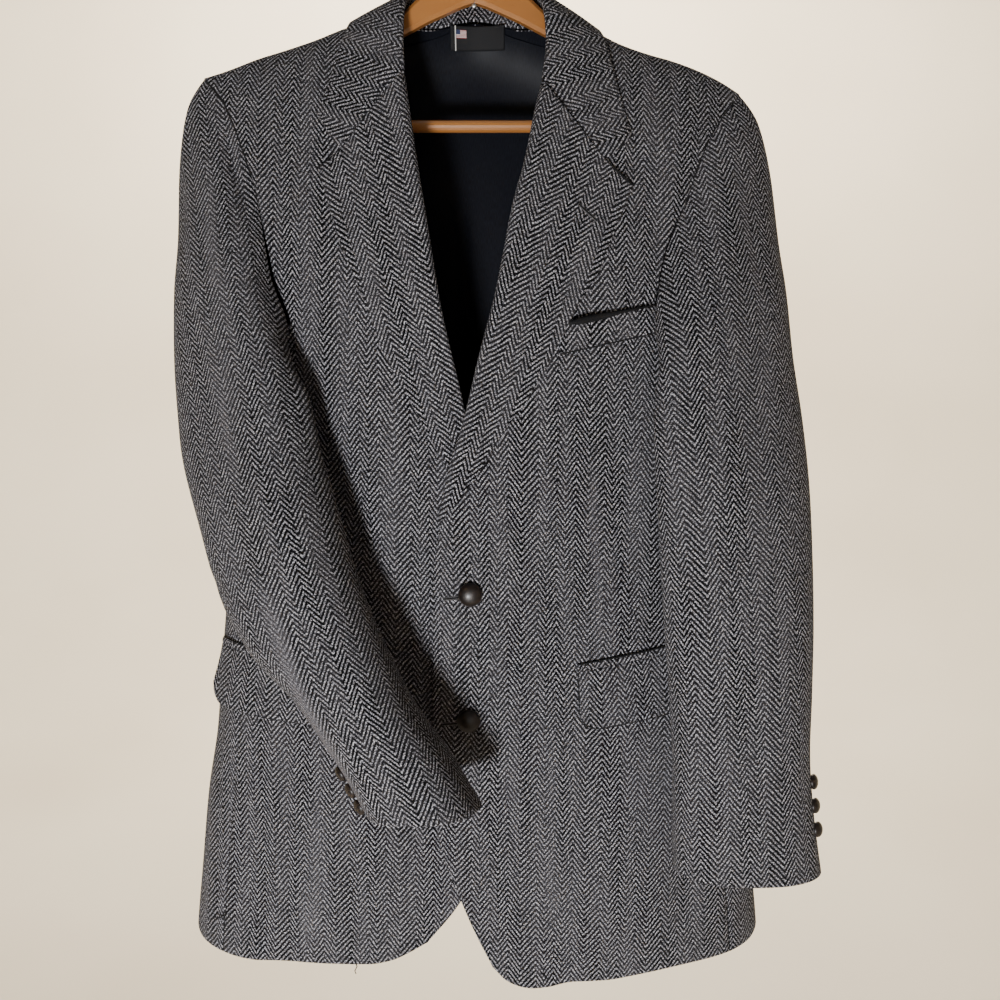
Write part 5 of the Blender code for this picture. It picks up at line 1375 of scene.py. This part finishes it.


# Buttons, threads, dark strands of painted shade and the hanger's pin

def turned_form(name, at, axis, profile, finish, steps, closed=True):
    """A turned form at a point, given as radii and heights from the middle of its face."""
    axis = unit(axis)
    side = unit(np.cross(axis, (0.0, 0.3, 1.0)))
    angles = np.linspace(0, math.tau, steps, endpoint=False)[:, None]
    ring = np.cos(angles) * side + np.sin(angles) * np.cross(axis, side)
    rings = [np.asarray(at) + axis * h + r * ring for r, h in profile[1:]]
    points = np.concatenate([[np.asarray(at) + axis * profile[0][1]], *rings])
    faces = [(0, 1 + k, 1 + (k + 1) % steps) for k in range(steps)]
    last = 1 + (len(rings) - 1) * steps
    for a in range(1, last, steps):
        faces += [(a + k, a + steps + k, a + steps + (k + 1) % steps, a + (k + 1) % steps)
                  for k in range(steps)]
    if closed:
        faces.append(tuple(range(last + steps - 1, last - 1, -1)))
    return add_mesh(name, points, faces, [finish])


def add_button(node, at, axis, profile, steps):
    made = turned_form(f"{node}_face", at, axis, profile, FINISH["leather"], steps)
    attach(made, "root")
    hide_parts(node)


def dome(radius, height):
    """A leather button's face: a full dome with a shallow rolled edge over a flat back."""
    turn = np.linspace(0, math.pi / 2, 14)
    face = [(radius * math.sin(t) ** 0.92, height * (0.3 + 0.7 * math.cos(t))) for t in turn]
    return face + [(radius * 0.99, height * 0.2), (radius * 0.9, height * 0.07),
                   (radius * 0.6, 0.02 * height)]


FRONT_BUTTONS = (("top", -3, -592), ("bottom", -5, -702))  # x and z
FRONT_DOME, CUFF_DOME = (10, 8), (6.5, 5)  # radius and height
# The places of the cuff buttons: the station down the table SLEEVE, and degrees round the sleeve
CUFF_BUTTONS = {
    RIGHT: ((7.72, 12), (8.13, 13), (8.66, 14)),
    LEFT: ((6.6, 14), (6.95, 17), (7.32, 16)),
}


def on_sleeve(side, station, degrees):
    """A point on a sleeve's outer face and the direction out of it."""
    def point(s, d):
        return tube_at(side, np.array([s]), np.array([[float(d)]]))[0, 0]

    at = point(station, degrees)
    out = unit(np.cross(point(station, degrees + 1) - at, point(station + 0.02, degrees) - at))
    middle = (point(station, 0) + point(station, 180)) / 2
    return at, out if np.dot(out, at - middle) > 0 else -out


def add_buttons():
    for word, x, z in FRONT_BUTTONS:
        add_button(f"button_front_{word}", on_front(x, z, 0.7), out_of(angle_of(x, z), z),
                   dome(*FRONT_DOME), 48)
    for side in (RIGHT, LEFT):
        for number, (station, degrees) in enumerate(CUFF_BUTTONS[side], 1):
            at, out = on_sleeve(side, station, degrees)
            # The shank lets the button sag towards the front.
            sag = np.array((0.0, -0.3 - 0.06 * number, 0.1))
            add_button(f"cuff_button_{WORD[side]}_{number}", at + out * 0.3, out + sag,
                       dome(*CUFF_DOME), 32)


def on_cloth(node, x, z, lift=0.0):
    """The point on a piece of cloth at x and z, so far off its face."""
    points, out = SURFACES[node]
    at = np.unravel_index(np.hypot(points[..., 0] - x, points[..., 2] - z).argmin(),
                          points.shape[:2])
    near, way = points[at], out[at]
    over, up = x - near[0], z - near[2]
    return np.array((x, near[1] - (over * way[0] + up * way[2]) / way[1], z)) + way * lift


def add_threads(name, lines, radius, finish="dark_thread_and_shade", sides=5):
    """Strands of one kind, each round along its points with closed ends: threads, and dark lines
    of painted shade.
    """
    points, faces = [], []
    for line in lines:
        line = np.asarray(line, float)
        way = unit(np.gradient(line, axis=0))
        side = unit(np.cross(way, (0.31, 0.91, 0.27)))[:, None]
        turn = np.linspace(0, math.tau, sides, endpoint=False)[None, :, None]
        thick = np.interp(np.linspace(0, 1, len(line)), np.linspace(0, 1, np.size(radius)),
                          np.ravel(radius))[:, None, None]
        ring = np.cos(turn) * side + np.sin(turn) * np.cross(way[:, None], side)
        ring = line[:, None] + thick * ring
        start = len(points)
        points.extend(ring.reshape(-1, 3))
        for k in range(len(line) - 1):
            a = start + k * sides
            faces += [(a + j, a + (j + 1) % sides, a + sides + (j + 1) % sides, a + sides + j)
                      for j in range(sides)]
        faces.append(tuple(start + j for j in range(sides - 1, -1, -1)))
        last = start + (len(line) - 1) * sides
        faces.append(tuple(last + j for j in range(sides)))
    made = add_mesh(name, points, faces, [FINISH[finish]])
    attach(made, "root")


STITCH = 0.55  # from one stitch of a buttonhole to the next
# The buttonholes: the cloth, the x and z of both ends, and half the width of their stitching
BUTTONHOLES = (
    ("front_left", (-25.5, -596.5), (-12.0, -595.0), 1.5),
    ("front_left", (-27.0, -706.0), (-14.0, -705.0), 1.5),
    ("lapel_left", (84.5, -276.0), (99.5, -289.0), 1.2),
)
SHANK_FEET = ((2, 1), (-2, 1), (0, -2))  # where the thread under a button leaves the cloth


def worked_hole(node, start, end, half):
    """The stitches round a buttonhole from one x and z to another, and the line of its slit."""
    start, end = np.array(start, float), np.array(end, float)
    way = unit(end - start)
    square = np.array((-way[1], way[0]))
    count = int(np.hypot(*(end - start)) / STITCH)
    stitches = []
    for k in range(count + 1):
        centre = start + (end - start) * k / count
        for sign in (-1, 1):
            reach = half * (1 + 0.18 * math.sin(k * 2.3 + sign))
            stitches.append([on_cloth(node, *(centre + square * sign * r), lift)
                             for r, lift in ((0.25, 0.3), (reach * 0.6, 0.5), (reach, 0.05))])
    slit = [[on_cloth(node, *(start + (end - start) * t), 0.28) for t in np.linspace(0, 1, 12)]]
    return stitches, slit


SEAM_SHADE_END = -285.0  # how far down the front the dark strand of painted shade runs along the armhole seam
# Where the loose threads leave the hem, and their points from there
LOOSE_ENDS = (
    ("front_right", -226, -895, ((-2, -4), (-7, -7), (-11, -6), (-13, -8))),
    ("front_right", -106, -925, ((0, -3), (1, -7), (-1, -11), (0, -14))),
    ("front_left", 172, -921, ((1, -3), (-1, -8), (-5, -14), (-7, -20))),
    ("front_left", 60, -936, ((1, -3), (3, -5), (4, -9))),
)


def line_in(node, index, depth, up=0.0):
    """A line of a piece's surface, sunk so far into it and raised so far."""
    points, out = SURFACES[node]
    return points[index] - out[index] * depth + (0, 0, up)


def add_sewing_and_painted_shade():
    """The worked buttonholes, the thread under the buttons, the loose ends at the hem, and dark
    strands of painted shade:
    in the buttonholes' slits, the pockets' mouths and edges, the side seams, the front of the
    armhole seams and under the lapels' notches."""
    work, slits = [], []
    for hole in BUTTONHOLES:
        stitches, slit = worked_hole(*hole)
        work += stitches
        slits += slit
    add_threads("buttonhole_stitches", work, 0.22, "thread")
    # A dark strand along each buttonhole's slit is painted shade in its opening.
    add_threads("buttonhole_slit_shade", slits, 0.75)
    add_threads("button_shanks", [
        [on_cloth("front_left", x + dx, z + dz, -0.5), on_cloth("front_left", x, z, 1.2)]
        for _, x, z in FRONT_BUTTONS for dx, dz in SHANK_FEET], 0.4)
    # Dark strands as painted shade: in the breast pocket's gaping mouth and under its welt's lower
    # edge.
    add_threads("welt_mouth_shade", [line_in("breast_welt", np.s_[0, 1:24], 1.4, 1.2)],
                (1.6, 3.4, 2.8, 1.8, 1.0, 0.5), sides=8)
    add_threads("welt_seam_shade", [line_in("breast_welt", -1, 0.5, -0.6)], (0.8, 0.7, 0.9, 0.6))
    for side, radius, notch_shade in ((RIGHT, 0.9, 0.35), (LEFT, 0.45, 0.8)):
        # A dark strand along the front of the armhole seam is painted shade in the hollow between
        # chest and sleeve.
        loop, _, _ = armhole(side)
        front = loop[(loop[:, 1] < loop[:, 1].mean()) & (loop[:, 2] > SEAM_SHADE_END)]
        front = front[np.argsort(-front[:, 2])]
        inward = unit(np.array((side * 190.0, 10.0, -300.0)) - front)
        add_threads(f"armhole_{WORD[side]}_painted_shade", [front + inward * 0.7], radius, sides=6)
        # A dark strand under the lapel's top edge at the notch is its painted shadow.
        lapel = f"lapel_{WORD[side]}"
        half = SURFACES[lapel][0].shape[1] // 2
        add_threads(f"notch_{WORD[side]}", [line_in(lapel, np.s_[0, half:], 0.4, 0.7)],
                    (0.15, 0.2, 0.3, 1.4 * notch_shade, notch_shade), sides=6)
    # Dark strands as painted shade in the side panels' seams, and along the jets' top edges and
    # the flaps' front and lower edges, fainter on the right.
    for word, weight in (("right", 0.45), ("left", 1.0)):
        panel, jet, flap = f"side_{word}", f"jet_{word}", f"flap_{word}"
        add_threads(f"{panel}_shade_lines", [line_in(panel, np.s_[:, k], 1.3) for k in (0, -1)], 1.0,
                    sides=6)
        add_threads(f"{jet}_shade_lines", [line_in(jet, 0, 0.7, 0.7), line_in(flap, np.s_[1:, 0], 0.8),
                                     line_in(flap, -1, 0.8, -0.5)],
                    np.array((0.7, 0.9, 0.7, 1.0, 0.8, 0.6)) * weight, sides=8)
    ends = []
    for node, x, z, path in LOOSE_ENDS:
        root = on_cloth(node, x, z)
        ends.append([root] + [root + (dx, 0, dz) for dx, dz in path])
    add_threads("hem_ends", ends, (0.55, 0.5, 0.4))


PIN_AT = (-0.1, -3.5, -106.5)
PIN_HEAD = ((0, 1.2), (1.2, 1.05), (2.0, 0.6), (2.3, 0.0))  # its radii and heights


def add_pin():
    """The steel pin's head where the hanger's arms meet."""
    made = turned_form("hanger_pin", PIN_AT, (0, -1, 0), PIN_HEAD, FINISH["steel"], 24)
    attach(made, "root")


# The light, the floor and the camera

FLOOR = -1600.0
# Radii and heights of the floor, which turns up into a wall far behind
STUDIO = ((0, FLOOR), (2200, FLOOR), (2800, FLOOR + 100), (3200, FLOOR + 450),
          (3400, FLOOR + 1000), (3450, FLOOR + 4000))
# The soft lamps: place, what each points at and width in metres, watts and colour
LAMPS = {
    "key_lamp": ((-0.38, -1.95, -1.2), (0.0, 0.0, -0.55), 0.36, 61, "#FCFDFF"),
    "fill_lamp": ((1.2, -2.3, -0.2), (0.05, 0.0, -0.5), 1.6, 2.1, "#AFC6FF"),
    "top_lamp": ((0.2, -0.6, 1.6), (0.0, 0.0, -0.4), 1.2, 2, "#FFFFFF"),
    "back_lamp": ((0.4, 2.0, 1.0), (0.0, 0.0, -0.5), 1.4, 26, "#E6EEFF"),
    "wall_lamp": ((0.0, 1.7, 1.5), (0.0, 3.4, -0.5), 1.2, 290, "#FFF0DC"),
}
AIR = ("#C4D6FA", 0.07)  # the colour and strength of the light from all round
LENS, SENSOR = 37.8, 36.0  # in millimetres
CAMERA_AT = (0.0216, -0.9324, -0.389)  # in metres
CAMERA_TILT = 81.7  # degrees up from straight down


def add_studio():
    paint = material("matt_paint", matt_paint)
    turned_form("studio", (0, 0, 0), (0, 0, 1), STUDIO, paint, 64, closed=False)
    world = bpy.data.worlds.new("studio_air")
    world.use_nodes = True
    air = world.node_tree.nodes["Background"].inputs
    air["Color"].default_value = hex_colour(AIR[0])
    air["Strength"].default_value = AIR[1]
    bpy.context.scene.world = world
    for name, (at, towards, size, watts, code) in LAMPS.items():
        lamp = bpy.data.lights.new(name, "AREA")
        lamp.shape = "DISK"
        lamp.size = size
        lamp.energy = watts
        lamp.color = hex_colour(code)[:3]
        made = placed(name, lamp)
        made.location = at
        way = mathutils.Vector(towards) - mathutils.Vector(at)
        made.rotation_euler = way.to_track_quat("-Z", "Y").to_euler()


def add_camera():
    """A camera at chest height that looks a little down."""
    lens = bpy.data.cameras.new("camera")
    lens.lens = LENS
    lens.sensor_width = SENSOR
    camera = placed("camera", lens)
    camera.location = CAMERA_AT
    camera.rotation_euler = (math.radians(CAMERA_TILT), 0.0, 0.0)
    bpy.context.scene.camera = camera


# Build

for which in (RIGHT, LEFT):
    add_body(which)
    add_sleeve(which)
    add_lapel(which)
add_collar()
add_pockets()
add_lining()
add_buttons()
add_sewing_and_painted_shade()
add_pin()
for node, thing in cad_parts.items():
    if node.startswith("hanger"):
        thing.data.materials.clear()
        thing.data.materials.append(FINISH["steel" if node == "hanger_hook" else "wood"])
add_studio()
add_camera()
